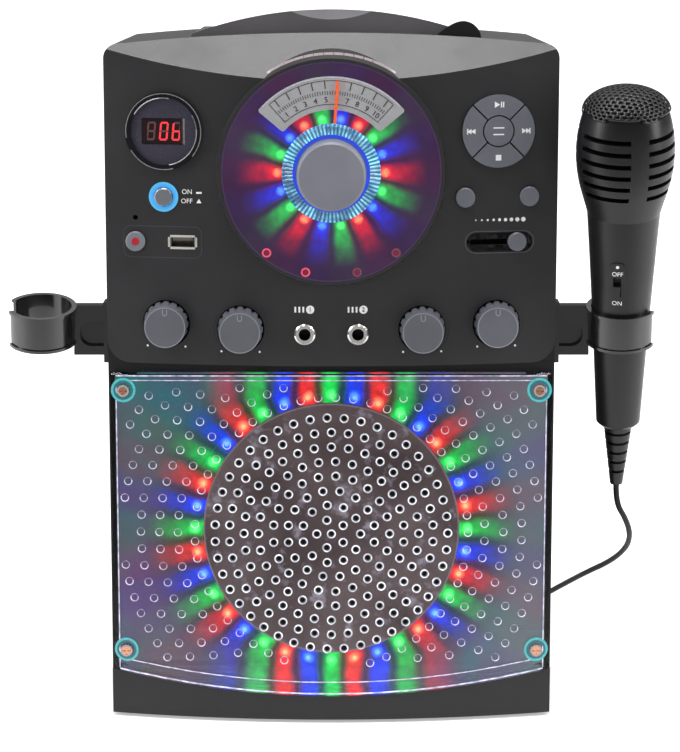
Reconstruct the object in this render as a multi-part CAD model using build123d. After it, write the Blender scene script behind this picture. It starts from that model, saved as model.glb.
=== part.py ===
"""Home karaoke machine with a top-loading disc tray, front controls, a lit speaker and a wired microphone.

Frame: +Z up, the front faces -Y, and the origin lies on the floor under the middle of the housing.
Each function below makes one sub-part in place. All sizes are millimetres and degrees.
"""

import os
from math import asin, cos, degrees, pi, radians, sin, sqrt, tan

from build123d import *

# ---- Housing
housing_width = 250.0
housing_depth = 190.0
ridge_height = 388.0
wall = 3.0
deck_crown = 6.5
deck_fall_angle = 1.5
top_side_radius = 8.0
rear_corner_radius = 25.0
rear_top_radius = 30.0
front_bulge = 15.0
front_lip = 3.0
slope_angle = 48.6
slope_run_behind_corner = 7.0
deck_seam_height = 362.0
frame_depth = 47.0
frame_ledge = 7.0
foot_height = 2.0
foot_radius = 9.0
foot_inset = 26.0
foot_recess = 1.0
base_thickness = 3.0
plinth_side_height = 28.0
plinth_middle_height = 16.0
seam_gap = 0.3
shell_boss = 10.0
shell_boss_depth = 12.0
shell_boss_heights = (30.0, 190.0, 340.0)
louvre_count = 7
louvre_pitch = 9.0
louvre_gap = 4.0
louvre_half_length = 45.0
louvre_bottom = 230.0
rear_screw_x = 95.0
rear_screw_heights = (30.0, 190.0, 345.0)
rear_boss_radius = 5.0
rear_boss_depth = 22.0
rear_screw_depth = 20.0
screw_recess = 2.0
vent_count = 6
vent_pitch = 20.0
vent_gap = 4.0
vent_half_length = 30.0

# ---- Front openings
panel_bottom = 206.0
panel_corner_radius = 13.0
panel_skin = 3.0
panel_hole_ledge = 8.0
fit_gap = 0.35
screw_gap = 0.1
touch_gap = 0.3
cover_top = 199.7
cover_margin = 1.5
cover_skin = 2.0
cover_bevel = 3.0
cover_centre_height = 109.0
cover_hole_radius = 1.3
cover_ring_pitch = 8.2
cover_hole_pitch = 9.6
cover_ring_count = 8
cover_screw_x = 116.5
cover_screw_top = 190.0
cover_screw_bottom = 40.0
screw_head_radius = 3.4
screw_head_height = 1.8
screw_shank_radius = 1.5
screw_slot_width = 0.8
screw_slot_half_length = 2.4
screw_slot_depth = 0.8
boss_radius = 6.3

# ---- Controls on the bowed front panel
window_height = 313.5
window_radius = 60.5
collar_wall = 1.5
collar_proud = 1.5
collar_flare = 4.4
flare_depth = 16.3
lens_thickness = 2.5
dial_inner_radius = 34.3
dial_outer_radius = 52.4
dial_half_angle = 50.0
dial_thickness = 0.8
volume_radius = 18.7
volume_proud = 22.0
light_ring_outer = 27.0
light_ring_inner = 19.2
light_ring_depth = 2.6
web_front = 2.1
web_back = 0.5
needle_thickness = 0.8
needle_angle = 4.0
needle_tip_radius = 50.0
needle_width = 1.6
led_ring_radius = 31.0
dial_led_count = 18
lamp_space = 1.6
lamp_side = 3.0
lamp_thickness = 1.3
lens_bore_radius = 6.0
window_lip = 1.2
board_hole_radius = 22.0
volume_cap_chamfer = 1.2
display_x = -92.0
display_height = 335.2
bezel_outer = 21.3
bezel_inner = 18.6
bezel_lip = 1.5
bezel_proud = 2.4
display_proud = 0.6
digit_window_width = 24.0
digit_window_height = 14.6
key_cluster_x = 91.6
key_cluster_height = 335.4
key_outer_radius = 20.0
key_inner_radius = 8.8
key_slit = 0.8
small_button_height = 299.2
power_x = -92.3
power_radius = 5.0
halo_outer = 8.2
source_x = 73.6
repeat_x = 109.2
round_button_radius = 5.4
record_x = -108.2
record_height = 274.3
record_radius = 5.5
record_lamp_height = 287.5
record_lamp_radius = 1.35
usb_x = -82.0
usb_width = 13.6
usb_height = 6.0
usb_wall = 0.6
usb_depth = 14.0
usb_tongue = 1.8
slider_left = 74.2
slider_right = 111.4
slider_slot_height = 11.2
slider_z = 274.2
slider_radius = 5.2
slider_recess = 1.2
slider_rail_height = 3.2
slider_rest = 9.8
slider_switch_depth = 14.0
slider_cap = 3.2
slider_stem_half = 1.4
lamp_circle_radius = 56.6
lamp_angles = (-38.9, -14.5, 14.5, 38.9)
lamp_radius = 2.6
key_travel = 1.0
key_proud = 1.6
knob_radius = 12.6
knob_face_radius = 11.3
knob_height = 14.5
knob_flutes = 16
knob_flute_radius = 1.1
knob_recess_gap = 0.7
knob_recess_floor = 0.4
knob_recess_wall = 1.6
knob_lift = 0.6
outer_knob_x = 91.6
outer_knob_height = 228.6
inner_knob_x = 50.3
inner_knob_height = 226.4
shaft_radius = 3.0
shaft_in_control = 4.4
stem_radius = 1.5
button_chamfer = 0.5
flange_margin = 1.4
flange_thickness = 1.2
running_gap = 0.05
jack_x = 14.7
jack_height = 224.1
jack_bore_radius = 3.3
jack_nut_radius = 5.8
jack_nut_proud = 3.2
jack_nut_chamfer = 0.8
jack_body_half = 7.0
jack_barrel_radius = 4.45
board_y = -80.0
board_thickness = 1.6
board_half_width = 118.0
board_bottom = 209.0
board_top = 361.0
board_pillar_x = 100.0
board_pillar_heights = (211.5, 358.8)
board_pillar_radius = 2.4
dial_control_half = 8.0
dial_control_depth = 7.0
bushing_radius = 4.5
bushing_depth = 14.0
switch_half = 3.0
switch_height = 4.0
switch_gap = 0.4
main_board_x = (-100.0, 60.0)
main_board_z = (20.0, 150.0)
main_board_y = 60.0
main_part_depth = 16.0
rail_width = 8.0
capacitor_count = 4
capacitor_pitch = 18.0
capacitor_radius = 6.0

# ---- Speaker behind the clear cover
baffle_y = -88.0
baffle_thickness = 3.0
baffle_overlap = 4.0
speaker_radius = 72.5
cloth_thickness = 3.0
cloth_skin = 1.4
cone_radius = 62.0
cone_clearance = 2.4
basket_flange = 12.0
basket_depth = 34.0
basket_sheet = 2.5
coil_gap_radius = 12.0
magnet_radius = 35.0
magnet_depth = 16.0
led_board_thickness = 1.2
led_board_inner = 73.5
led_board_outer = 80.5
speaker_led_count = 36
speaker_height = 109.0
speaker_opening_bottom = 27.5
speaker_opening_top = 198.5
speaker_opening_edge = 120.5
screw_pad = 7.3

# ---- Disc compartment and its drive
disc_y = -8.0
well_radius = 62.5
well_wall = 2.5
well_floor_height = 369.5
lid_half_width = 77.0
lid_front = -76.0
lid_rear = 70.0
lid_seat_height = 377.5
lid_flange_height = 386.8
lid_crown_height = 400.3
lid_rake = 3.3
lid_crown_radius = 227.0
lid_wall = 2.5
hinge_y = 64.0
hinge_height = 378.0
hinge_pin_radius = 1.75
hinge_lug_radius = 3.6
hinge_lug_length = 6.0
hinge_pin_length = 3.4
seat_margin = 1.0
trough_front = 4.5
trough_back = 9.5
trough_depth = 6.0
scoop_radius = 61.35
scoop_height = 452.6
lid_bend_y = 30.0
lid_rear_fall = 0.3
platter_radius = 15.0
platter_height = 373.0
disc_hub_radius = 7.45
disc_hub_length = 4.0
platter_thickness = 1.6
spindle_radius = 1.0
clamp_radius = 14.0
clamp_thickness = 3.0
clamp_stem_radius = 5.0
clamp_gap = 1.6
plate_top = 346.0
plate_thickness = 2.0
rod_radius = 1.5
rod_length = 84.0
rod_middle_x = 43.0
rod_stand_half = 3.0
rod_spread = 19.0
rod_height = 358.0
sled_rest_x = 26.0
sled_length = 24.0
sled_travel = 31.0
sled_half_height = 6.0
lens_radius = 4.5
lens_slot_width = 14.0
gear_module = 1.0
small_gear_teeth = 10
large_gear_teeth = 30
tooth_share = 0.40
gear_x = 45.0
gear_y = 25.0
small_gear_width = 4.0
large_gear_width = 3.0
gear_pin_radius = 1.5
pinion_hole_radius = 2.2
motor_radius = 12.0
motor_length = 14.0
motor_gap = 0.4
sled_motor_radius = 8.0
sled_motor_length = 20.0

# ---- Lid release tab
tab_left = 57.0
tab_right = 82.4
tab_peak_x = 74.2
tab_base_height = 385.5
tab_rise = 8.4
tab_y = -82.0
tab_thickness = 3.4
tab_foot_margin = 2.0

# ---- Microphone and its holders
ring_x = 162.0
ring_y = -88.0
ring_height = 226.5
ring_tilt = 14.0
ring_lean = -1.1
ring_inner_radius = 16.75
ring_wall = 1.7
ring_length = 21.0
ring_flange = 1.0
ring_flange_length = 1.6
ring_gap_angle = 50.0
arm_thickness = 10.0
arm_height = 28.0
arm_root_thickness = 2.5
arm_pocket_size = (24.0, 14.0)
arm_pocket_radius = 6.5
arm_pocket_depth = 5.0
mic_tail_s = -99.6
mic_switch_travel = 4.0
mic_switch_s = 28.7
mic_switch_turn = -14.0
mic_spine_turn = 12.0
mic_switch_size = (4.0, 4.4, 6.6)
tail_groove_count = 5
tail_groove_pitch = 6.2
tail_groove_width = 1.8
mic_plate_s = 29.0
mic_plate_length = 29.0
mic_plate_width = 10.0
mic_mesh_s = 125.0
mic_mesh_radius = 23.2
mic_top_s = 137.5
mic_mesh_thickness = 1.6
mic_wall = 2.6
mic_low_s = -61.4
capsule_cup_radius = 17.0
capsule_cup_wall = 1.5
capsule_cup_top_s = 122.0
slot_width = 2.6
slot_pitch = 6.6
slot_start_s = 82.0
slot_rows = 6
cord_radius = 1.65
plug_radius = 3.15
coil_x = 45.0
coil_y = 124.0
coil_radius = 19.5
coil_columns = 4
coil_rows = 4
plug_back_x = 8.0
plug_barrel_radius = 5.6
plug_sleeve_length = 8.0
plug_barrel_length = 26.0
plug_shaft_length = 24.0
slot_spine = 5.0

# ---- Rear sockets
socket_x = 70.0
socket_height = 60.0
socket_strip_half_length = 34.0
socket_strip_half_height = 14.0
socket_strip_thickness = 2.5
socket_recess_half_height = 16.0
recess_depth = 12.0
recess_wall = 2.0
rca_pitch = 15.3
rca_radius = 4.15
rca_bore_radius = 1.65
rca_length = 9.0
dc_length = 6.0
dc_bore_radius = 2.85
dc_pin_radius = 1.05

half_width = housing_width / 2
rear_y = housing_depth / 2
corner_y = -housing_depth / 2
frame_front_y = corner_y + front_lip
seam_y = frame_front_y + frame_depth
bulge_radius = (half_width**2 + front_bulge**2) / (2 * front_bulge)
apex_y = corner_y - front_bulge
clear_front = apex_y - 30
jack_body_front = apex_y + 10
pinion_x = gear_x + gear_module * (small_gear_teeth + large_gear_teeth) / 2
slope_rise = tan(radians(slope_angle))
deck_fall = tan(radians(deck_fall_angle))
ridge_y = corner_y + slope_run_behind_corner
base_top = foot_height + base_thickness
switch_face_y = board_y - switch_height
floor_clearance = switch_gap + key_travel


def front_y(x, proud=0.0):
    """The bowed front surface of the panel at a distance x from the middle."""
    return apex_y - proud + bulge_radius - sqrt(bulge_radius**2 - x**2)


def slope_height(y):
    """Height of the sloped shoulder above the panel at depth y."""
    return ridge_height + (y - ridge_y) * slope_rise


def facing(y):
    """A sketch plane that faces the front: local x is +X, local y is +Z, and extruding goes to -Y."""
    return Plane(origin=(0, y, 0), x_dir=(1, 0, 0), z_dir=(0, -1, 0))


def disc_along_y(x, z, radius, y_front, y_back):
    """A round bar along Y between two depths."""
    sketch = Pos(x, z) * Circle(radius)
    return extrude(facing(y_back) * sketch, y_back - y_front)


def block(x, y, z):
    """A box given by its (low, high) limits on each axis."""
    centre = ((x[0] + x[1]) / 2, (y[0] + y[1]) / 2, (z[0] + z[1]) / 2)
    return Pos(*centre) * Box(x[1] - x[0], y[1] - y[0], z[1] - z[0])


def post(x, y, radius, z_low, z_high):
    """A round bar along Z between two heights."""
    return Pos(x, y, (z_low + z_high) / 2) * Cylinder(radius, z_high - z_low)


def bowed_zone(front, back, z_low=150.0, z_high=420.0, inset=0.0):
    """What lies from 'front' outside the bowed surface to 'back' inside it, measured along Y."""
    edge = half_width - inset
    outer = (-edge, front_y(edge, front)), (0, apex_y - front), (edge, front_y(edge, front))
    inner = (edge, front_y(edge, -back)), (0, apex_y + back), (-edge, front_y(edge, -back))
    lines = Curve() + [
        ThreePointArc(*outer),
        Line(outer[2], inner[0]),
        ThreePointArc(*inner),
        Line(inner[2], outer[0]),
    ]
    return Pos(0, 0, z_low) * extrude(make_face(lines), z_high - z_low)


def bowed_segment(inset, z_low, z_high, back_y):
    """The solid between the bowed surface and a flat back plane."""
    edge = half_width - inset
    side = front_y(edge, -inset)
    lines = Curve() + [
        ThreePointArc((-edge, side), (0, apex_y + inset), (edge, side)),
        Line((edge, side), (edge, back_y)),
        Line((edge, back_y), (-edge, back_y)),
        Line((-edge, back_y), (-edge, side)),
    ]
    return Pos(0, 0, z_low) * extrude(make_face(lines), z_high - z_low)


def tilted_back(solid, y, z, angle):
    """A solid turned about a line along X so that what lies behind the line drops."""
    return Pos(0, y, z) * Rot(-angle, 0, 0) * Pos(0, -y, -z) * solid


def crown_form(inset):
    """The housing's arched cross-section with rounded shoulders, falling a little towards the back."""
    edge = half_width - inset
    top = ridge_height - inset
    low = -housing_depth
    crown = Curve() + [
        ThreePointArc((-edge, top - deck_crown), (0, top), (edge, top - deck_crown)),
        Line((edge, top - deck_crown), (edge, low)),
        Line((edge, low), (-edge, low)),
        Line((-edge, low), (-edge, top - deck_crown)),
    ]
    face = make_face(crown)
    shoulders = face.vertices().sort_by(Axis.Y)[-2:]
    face = fillet(shoulders, max(top_side_radius - inset, 0.5))
    across = extrude(facing(2 * rear_y) * face, 2 * housing_depth)
    return tilted_back(across, ridge_y, ridge_height, deck_fall_angle)


def housing_form(inset):
    """The outer form of the housing behind the panel, drawn in by 'inset' on every side."""
    edge = half_width - inset
    top = ridge_height - inset
    front = frame_front_y + inset
    back = rear_y - inset
    side = Polyline(
        (front, foot_height),
        (front, slope_height(front - inset * 0.4) - inset),
        (ridge_y + inset * 0.5, top),
        (back, top - deck_fall * (back - ridge_y)),
        (back, foot_height),
        close=True,
    )
    side = make_face(side)
    rear_top = side.vertices().sort_by(Axis.X)[-2:].sort_by(Axis.Y)[-1]
    side = fillet(rear_top, rear_top_radius - inset)
    side_plane = Plane(origin=(-half_width - 1, 0, 0), x_dir=(0, 1, 0), z_dir=(1, 0, 0))
    along = extrude(side_plane * side, housing_width + 2)
    plan = Pos(0, (front + back) / 2) * Rectangle(2 * edge, back - front)
    plan = fillet(plan.vertices().sort_by(Axis.Y)[-2:], rear_corner_radius - inset)
    upright = extrude(plan, ridge_height + 20)
    return crown_form(inset) & along & upright


def shoulder_cut():
    """Everything above the sloped shoulder."""
    low = apex_y - 10
    high = rear_y
    side = Polyline(
        (low, slope_height(low)),
        (high, slope_height(high)),
        (high, slope_height(high) + 400),
        (low, slope_height(high) + 400),
        close=True,
    )
    side_plane = Plane(origin=(-half_width - 5, 0, 0), x_dir=(0, 1, 0), z_dir=(1, 0, 0))
    return extrude(side_plane * make_face(side), housing_width + 10)


def plinth_limit(lift, front, back):
    """Everything above the plinth's arched top edge, raised by 'lift', between two depths."""
    side = plinth_side_height + lift
    middle = plinth_middle_height + lift
    edge = half_width + 10
    rise = (side - middle) * (edge / half_width) ** 2
    lines = Curve() + [
        ThreePointArc((-edge, middle + rise), (0, middle), (edge, middle + rise)),
        Line((edge, middle + rise), (edge, 300)),
        Line((edge, 300), (-edge, 300)),
        Line((-edge, 300), (-edge, middle + rise)),
    ]
    return extrude(facing(back) * make_face(lines), back - front)


outer_form = housing_form(0)
inner_form = housing_form(wall)


# ---- Housing pieces


def make_front_frame():
    """The front moulding: side walls, bowed plinth, face round the speaker, open behind the panel."""
    box = block((-half_width, half_width), (frame_front_y, seam_y), (base_top, deck_seam_height))
    shell = (outer_form - inner_form) & box
    face = block(
        (-half_width + wall, half_width - wall),
        (frame_front_y, frame_front_y + wall),
        (base_top, deck_seam_height),
    )
    shell = shell + face
    plinth_top = 2 * plinth_side_height
    plinth = bowed_segment(0, base_top, plinth_top, frame_front_y + 1)
    hollow = bowed_segment(wall, foot_height, plinth_top, frame_front_y + wall + 2)
    roof = plinth_limit(-wall, clear_front, seam_y)
    plinth = plinth - plinth_limit(0, clear_front, frame_front_y) - (hollow - roof)
    shell = shell + plinth
    hole_height = speaker_opening_top - speaker_opening_bottom
    speaker_hole = RectangleRounded(2 * speaker_opening_edge, hole_height, top_side_radius)
    hole_middle = (speaker_opening_top + speaker_opening_bottom) / 2
    opening = extrude(facing(baffle_y) * Pos(0, hole_middle) * speaker_hole, 4 * wall)
    for x, z in cover_screw_places():
        inner, outer = abs(x) - screw_pad, half_width
        pad_x = (inner, outer) if x > 0 else (-outer, -inner)
        opening = opening - block(pad_x, (-140, 0), (z - screw_pad, z + screw_pad))
    panel_hole = block(
        (-half_width + frame_ledge, half_width - frame_ledge),
        (frame_front_y - 1, frame_front_y + wall + 1),
        (panel_bottom + panel_hole_ledge, deck_seam_height - 2 * wall),
    )
    shell = shell - opening - panel_hole
    for x, z in cover_screw_places():
        hole_radius = screw_shank_radius + screw_gap
        shell = shell - disc_along_y(x, z, hole_radius, frame_front_y - 1, frame_front_y + wall + 1)
    return shell


def cover_screw_places():
    """The four corner screws of the clear cover."""
    heights = (cover_screw_bottom, cover_screw_top)
    return [(x, z) for x in (-cover_screw_x, cover_screw_x) for z in heights]


def make_rear_shell():
    """The back of the housing, with louvres for air, the socket recess and screw bosses."""
    box = block((-half_width, half_width), (seam_y, rear_y + 1), (base_top, deck_seam_height))
    shell = (outer_form - inner_form) & box
    half = shell_boss / 2
    for side in (-1, 1):
        x = side * (half_width - wall - half)
        for z in shell_boss_heights:
            boss = block((x - half, x + half), (seam_y, seam_y + shell_boss_depth), (z - half, z + half))
            shell = shell + (boss & inner_form)
    for row in range(louvre_count):
        z = louvre_bottom + louvre_pitch * row
        louvre = (-louvre_half_length, louvre_half_length)
        shell = shell - block(louvre, (rear_y - 2 * wall, rear_y + 1), (z, z + louvre_gap))
    shell = shell - socket_box(0, rear_y - 2 * wall, rear_y + 1)
    recess = socket_box(recess_wall, rear_y - recess_depth - recess_wall, rear_y - wall)
    hollow = socket_box(0, rear_y - recess_depth, rear_y)
    shell = shell + ((recess - hollow) & outer_form)
    for x in rear_socket_places():
        floor = rear_y - recess_depth
        shell = shell - disc_along_y(x, socket_height, rca_radius, floor - 2 * recess_wall, floor + 1)
    for x, z in rear_screw_places():
        boss = disc_along_y(x, z, rear_boss_radius, rear_y - rear_boss_depth, rear_y - wall)
        head_recess = disc_along_y(x, z, screw_head_radius + touch_gap, rear_y - screw_recess, rear_y + 1)
        shank_hole = disc_along_y(x, z, screw_shank_radius + screw_gap, rear_y - rear_screw_depth, rear_y)
        shell = shell + (boss & inner_form) - head_recess - shank_hole
    return shell


def socket_box(margin, y_front, y_back):
    """A block round the rear sockets, wider than their strip by 'margin' on each side."""
    half_length = socket_strip_half_length + margin
    half_height = socket_recess_half_height + margin
    return block(
        (socket_x - half_length, socket_x + half_length),
        (y_front, y_back),
        (socket_height - half_height, socket_height + half_height),
    )


def rear_socket_places():
    """The four sockets of the rear recess, left to right: three round jacks and the power inlet."""
    return [socket_x + (n - 1.5) * rca_pitch for n in range(4)]


def rear_screw_places():
    """The six screws that hold the rear shell."""
    return [(side * rear_screw_x, z) for side in (-1, 1) for z in rear_screw_heights]


def make_base_plate():
    """The bottom cover, with recesses for the four feet."""
    plate = outer_form & block((-half_width, half_width), (corner_y, rear_y), (foot_height, base_top))
    front = bowed_segment(0, foot_height, base_top, frame_front_y + 1)
    plate = plate + front
    for x, y in foot_places():
        plate = plate - post(x, y, foot_radius + running_gap, 0, foot_height + foot_recess)
    for row in range(vent_count):
        x = vent_pitch * (row - (vent_count - 1) / 2)
        vent = (x - vent_gap / 2, x + vent_gap / 2)
        plate = plate - block(vent, (-vent_half_length, vent_half_length), (0, base_top + 1))
    return plate


def foot_places():
    """Where the four feet stand."""
    rows = (corner_y + 20, rear_y - foot_inset)
    return [(x, y) for x in (-half_width + foot_inset, half_width - foot_inset) for y in rows]


def make_rubber_feet():
    """Four rubber feet that stand just proud of the base."""
    feet = Part()
    for x, y in foot_places():
        foot = post(x, y, foot_radius, 0, foot_height + foot_recess)
        feet = feet + chamfer(foot.edges().group_by(Axis.Z)[0], 0.6)
    return feet


def make_top_deck():
    """The crowned top with the lid's seat, the hinge trough and the round mouth of the disc well."""
    front = ridge_y + seam_gap
    box = block((-half_width, half_width), (front, rear_y), (deck_seam_height, ridge_height + 1))
    deck = (outer_form - inner_form) & box
    seat_x = lid_half_width + seat_margin
    trough_y = (hinge_y - trough_front, hinge_y + trough_back)
    seat_floor = block(
        (-seat_x - wall, seat_x + wall),
        (lid_front - seat_margin - wall, trough_y[1] + lid_wall),
        (lid_seat_height - lid_wall, ridge_height),
    )
    trough_floor = block(
        (-seat_x - wall, seat_x + wall),
        (trough_y[0] - lid_wall, trough_y[1] + lid_wall),
        (lid_seat_height - trough_depth - lid_wall, ridge_height),
    )
    deck = deck + ((seat_floor + trough_floor) & outer_form)
    seat_y = (lid_front - seat_margin, trough_y[1])
    seat = block((-seat_x, seat_x), seat_y, (lid_seat_height, ridge_height + 20))
    trough = block(
        (-seat_x, seat_x),
        trough_y,
        (lid_seat_height - trough_depth, ridge_height),
    )
    mouth = post(0, disc_y, well_radius, lid_seat_height - 20, ridge_height)
    deck = deck - seat - trough - mouth
    pin_reach = lid_half_width + hinge_pin_length + 1
    hinge_axis = Pos(0, hinge_y, hinge_height) * Rot(0, 90, 0)
    pin_hole = hinge_axis * Cylinder(hinge_pin_radius + running_gap, 2 * pin_reach)
    ear = hinge_axis * Cylinder(hinge_lug_radius + 0.4, 2 * (seat_x + wall))
    between = block((-seat_x, seat_x), (0, rear_y), (deck_seam_height, ridge_height))
    deck = deck + ((ear & outer_form) - between)
    deck = deck - pin_hole
    slot = block(
        (tab_left - fit_gap, tab_right + fit_gap),
        (tab_y - tab_thickness / 2 - fit_gap, tab_y + tab_thickness / 2 + fit_gap),
        (deck_seam_height, ridge_height + 5),
    )
    return deck - slot


def make_control_panel():
    """The bowed panel tray: front skin, sloped shoulder, bottom wall, and a hole for every control."""
    body = bowed_segment(0, panel_bottom, ridge_height + 10, frame_front_y)
    outline = RectangleRounded(2 * half_width, 2 * panel_bottom, panel_corner_radius)
    outline = extrude(facing(0) * Pos(0, 2 * panel_bottom) * outline, housing_depth)
    body = (body & outline & crown_form(0)) - shoulder_cut()
    inside = bowed_segment(panel_skin, panel_bottom + panel_skin, ridge_height + 10, frame_front_y + 1)
    inner_slope = Pos(0, 0, -panel_skin / cos(radians(slope_angle))) * shoulder_cut()
    body = body - ((inside & crown_form(panel_skin)) - inner_slope)
    collar = window_collar()
    core = disc_along_y(0, window_height, window_radius - window_lip, apex_y - 20, frame_front_y + 1)
    lens_back = apex_y - collar_proud + lens_thickness
    lens_seat = disc_along_y(0, window_height, window_radius + 0.1, apex_y - 20, lens_back)
    body = body + collar - core - lens_seat
    rim = disc_along_y(0, window_height, window_radius + collar_wall, apex_y - 30, frame_front_y)
    for x, z, radius in round_holes():
        body = body - (disc_along_y(x, z, radius, apex_y - 20, frame_front_y + 1) - rim)
    usb_hole = block(
        (usb_x - usb_width / 2 - fit_gap, usb_x + usb_width / 2 + fit_gap),
        (apex_y - 20, frame_front_y + 1),
        (record_height - usb_height / 2 - fit_gap, record_height + usb_height / 2 + fit_gap),
    )
    pit_radius = knob_radius + knob_recess_gap
    for _, x, z in knob_places():
        floor = knob_floor(x)
        cup = disc_along_y(x, z, pit_radius + knob_recess_wall, clear_front, floor + knob_recess_wall)
        pit = disc_along_y(x, z, pit_radius, clear_front, floor)
        body = body + (cup & bowed_zone(-panel_skin + 0.2, knob_height)) - pit
        bushing_hole = bushing_radius + fit_gap + running_gap
        body = body - disc_along_y(x, z, bushing_hole, clear_front, frame_front_y + 1)
    length = slider_right - slider_left
    recess = slider_frame() * slot_bar(length, slider_slot_height, -2 * panel_skin, slider_recess)
    rail = slider_frame() * slot_bar(length - 4, slider_rail_height, -2 * panel_skin, 4 * panel_skin)
    lip = block((-half_width, half_width), (frame_front_y, ridge_y), (deck_seam_height, ridge_height + 1))
    lip = (outer_form - inner_form) & lip
    return body - usb_hole - recess - rail + lip


def window_collar():
    """The collar round the window, flaring towards the panel."""
    rim = window_radius + collar_wall
    depth = frame_front_y - (apex_y - collar_proud)
    foot = rim + collar_flare * depth / flare_depth
    cone = Solid.make_cone(foot, rim, depth, facing(frame_front_y))
    return Pos(0, 0, window_height) * cone


def round_holes():
    """Centre and radius of every round hole of the panel outside the window."""
    holes = [
        (display_x, display_height, bezel_outer - bezel_lip),
        (key_cluster_x, key_cluster_height, key_outer_radius + fit_gap),
        (power_x, small_button_height, halo_outer),
        (source_x, small_button_height, round_button_radius + fit_gap),
        (repeat_x, small_button_height, round_button_radius + fit_gap),
        (record_x, record_height, record_radius + fit_gap),
        (record_x, record_lamp_height, record_lamp_radius),
    ]
    for side in (-1, 1):
        holes.append((side * jack_x, jack_height, jack_barrel_radius + 0.05))
    return holes


def knob_floor(x):
    """Depth of the flat floor of a knob's round recess in the bowed panel."""
    return front_y(abs(x) + knob_radius) + knob_recess_floor


def slider_frame():
    """A frame on the bowed panel at the slider's slot: local x along the slot, local y into the housing."""
    left = front_y(slider_left)
    right = front_y(slider_right)
    run = slider_right - slider_left
    angle = degrees(asin((right - left) / sqrt(run**2 + (right - left) ** 2)))
    return Location(((slider_left + slider_right) / 2, (left + right) / 2, slider_z), (0, 0, angle))


def slot_bar(length, height, y_front, y_back):
    """A slot-shaped bar in the slider's frame."""
    return extrude(facing(y_back) * SlotOverall(length, height), y_back - y_front)


def lamp_places():
    """The four small lamps along the bottom of the window."""
    places = []
    for angle in lamp_angles:
        x = lamp_circle_radius * sin(radians(angle))
        z = window_height - lamp_circle_radius * cos(radians(angle))
        places.append((x, z))
    return places


def knob_places():
    """Name, x and height of the four small knobs."""
    return [
        ("voice_knob", -outer_knob_x, outer_knob_height),
        ("balance_knob", -inner_knob_x, inner_knob_height),
        ("echo_knob", inner_knob_x, inner_knob_height),
        ("mic_volume_knob", outer_knob_x, outer_knob_height),
    ]


# ---- Window, dial and display


def make_window_lens():
    """The smoked window disc, seated in the collar, with a hole for the volume shaft."""
    front = apex_y - collar_proud
    lens = disc_along_y(0, window_height, window_radius, front, front + lens_thickness)
    lens = lens - disc_along_y(0, window_height, lens_bore_radius, front - 1, front + lens_thickness + 1)
    for x, z in lamp_places():
        lens = lens - disc_along_y(x, z, lamp_radius + 0.03, front - 1, front + lens_thickness + 1)
    return lens


def make_dial_scale():
    """The pale fan-shaped scale plate on the window."""
    back = apex_y - collar_proud
    ring = Circle(dial_outer_radius) - Circle(dial_inner_radius)
    reach = dial_outer_radius * 2
    half = radians(dial_half_angle)
    left = (-reach * sin(half), reach * cos(half))
    right = (reach * sin(half), reach * cos(half))
    wedge = make_face(Polyline((0, 0), left, (0, 2 * reach), right, close=True))
    fan = ring & wedge
    fan = fillet(fan.vertices(), 1.5)
    return extrude(facing(back) * Pos(0, window_height) * fan, dial_thickness)


def make_dial_led_board():
    """A ring board behind the window with its circle of small lamps."""
    front = apex_y - collar_proud + lens_thickness + lamp_space
    board = disc_along_y(0, window_height, window_radius - window_lip - 0.1, front, front + board_thickness)
    back = front + board_thickness
    board = board - disc_along_y(0, window_height, board_hole_radius, front - 1, back + 1)
    lamps = Part()
    for n in range(dial_led_count):
        angle = 90 - 360 / dial_led_count * (n + 0.5)
        spot = Rot(0, 0, angle) * Pos(led_ring_radius, 0) * Rectangle(lamp_side, lamp_side)
        lamps = lamps + extrude(facing(front) * Pos(0, window_height) * spot, lamp_thickness)
    return board + lamps


def make_light_ring():
    """The clear ribbed ring under the rim of the volume knob."""
    back = apex_y - collar_proud - web_front
    ring = disc_along_y(0, window_height, light_ring_outer, back - light_ring_depth, back)
    ring = ring - disc_along_y(0, window_height, light_ring_inner, back - 4, back + 1)
    outer_edge = ring.edges().group_by(Axis.Y)[0].sort_by(SortBy.LENGTH)[-1:]
    return chamfer(outer_edge, light_ring_depth * 0.6)


def needle_bar(inner_radius):
    """The needle's bar from a radius out to its tip, on the front of the knob's web."""
    front = apex_y - collar_proud - web_front
    length = needle_tip_radius - inner_radius
    bar = Pos(inner_radius + length / 2, 0) * Rectangle(length, needle_width)
    bar = Rot(0, 0, 90 - needle_angle) * bar
    return extrude(facing(front + needle_thickness) * Pos(0, window_height) * bar, needle_thickness)


def make_volume_needle():
    """The pointer over the scale, let into the knob's web."""
    return needle_bar(light_ring_inner + 2)


def make_volume_knob():
    """The large volume knob with the web that carries the light ring and the needle, and its shaft."""
    surface = apex_y - collar_proud
    front = surface - volume_proud
    cap = disc_along_y(0, window_height, volume_radius, front, surface - web_back)
    cap = chamfer(cap.edges().group_by(Axis.Y)[0], volume_cap_chamfer)
    collar = disc_along_y(0, window_height, light_ring_inner, surface - 5, surface - web_front)
    web = disc_along_y(0, window_height, light_ring_outer - 1, surface - web_front, surface - web_back)
    shaft = disc_along_y(0, window_height, shaft_radius, surface - 2, board_y - shaft_in_control)
    return cap + collar + web + shaft - needle_bar(light_ring_inner + 2)


def make_display_bezel():
    """The raised ring round the display."""
    ring = disc_along_y(display_x, display_height, bezel_outer, clear_front, board_y)
    ring = ring - disc_along_y(display_x, display_height, bezel_inner, clear_front - 10, board_y + 10)
    lip = ring & bowed_zone(bezel_proud, 0)
    neck = disc_along_y(display_x, display_height, bezel_outer - bezel_lip - 0.05, clear_front, board_y)
    neck = neck - disc_along_y(display_x, display_height, bezel_inner, clear_front - 10, board_y + 10)
    return lip + (neck & bowed_zone(0.2, 6))


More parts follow.
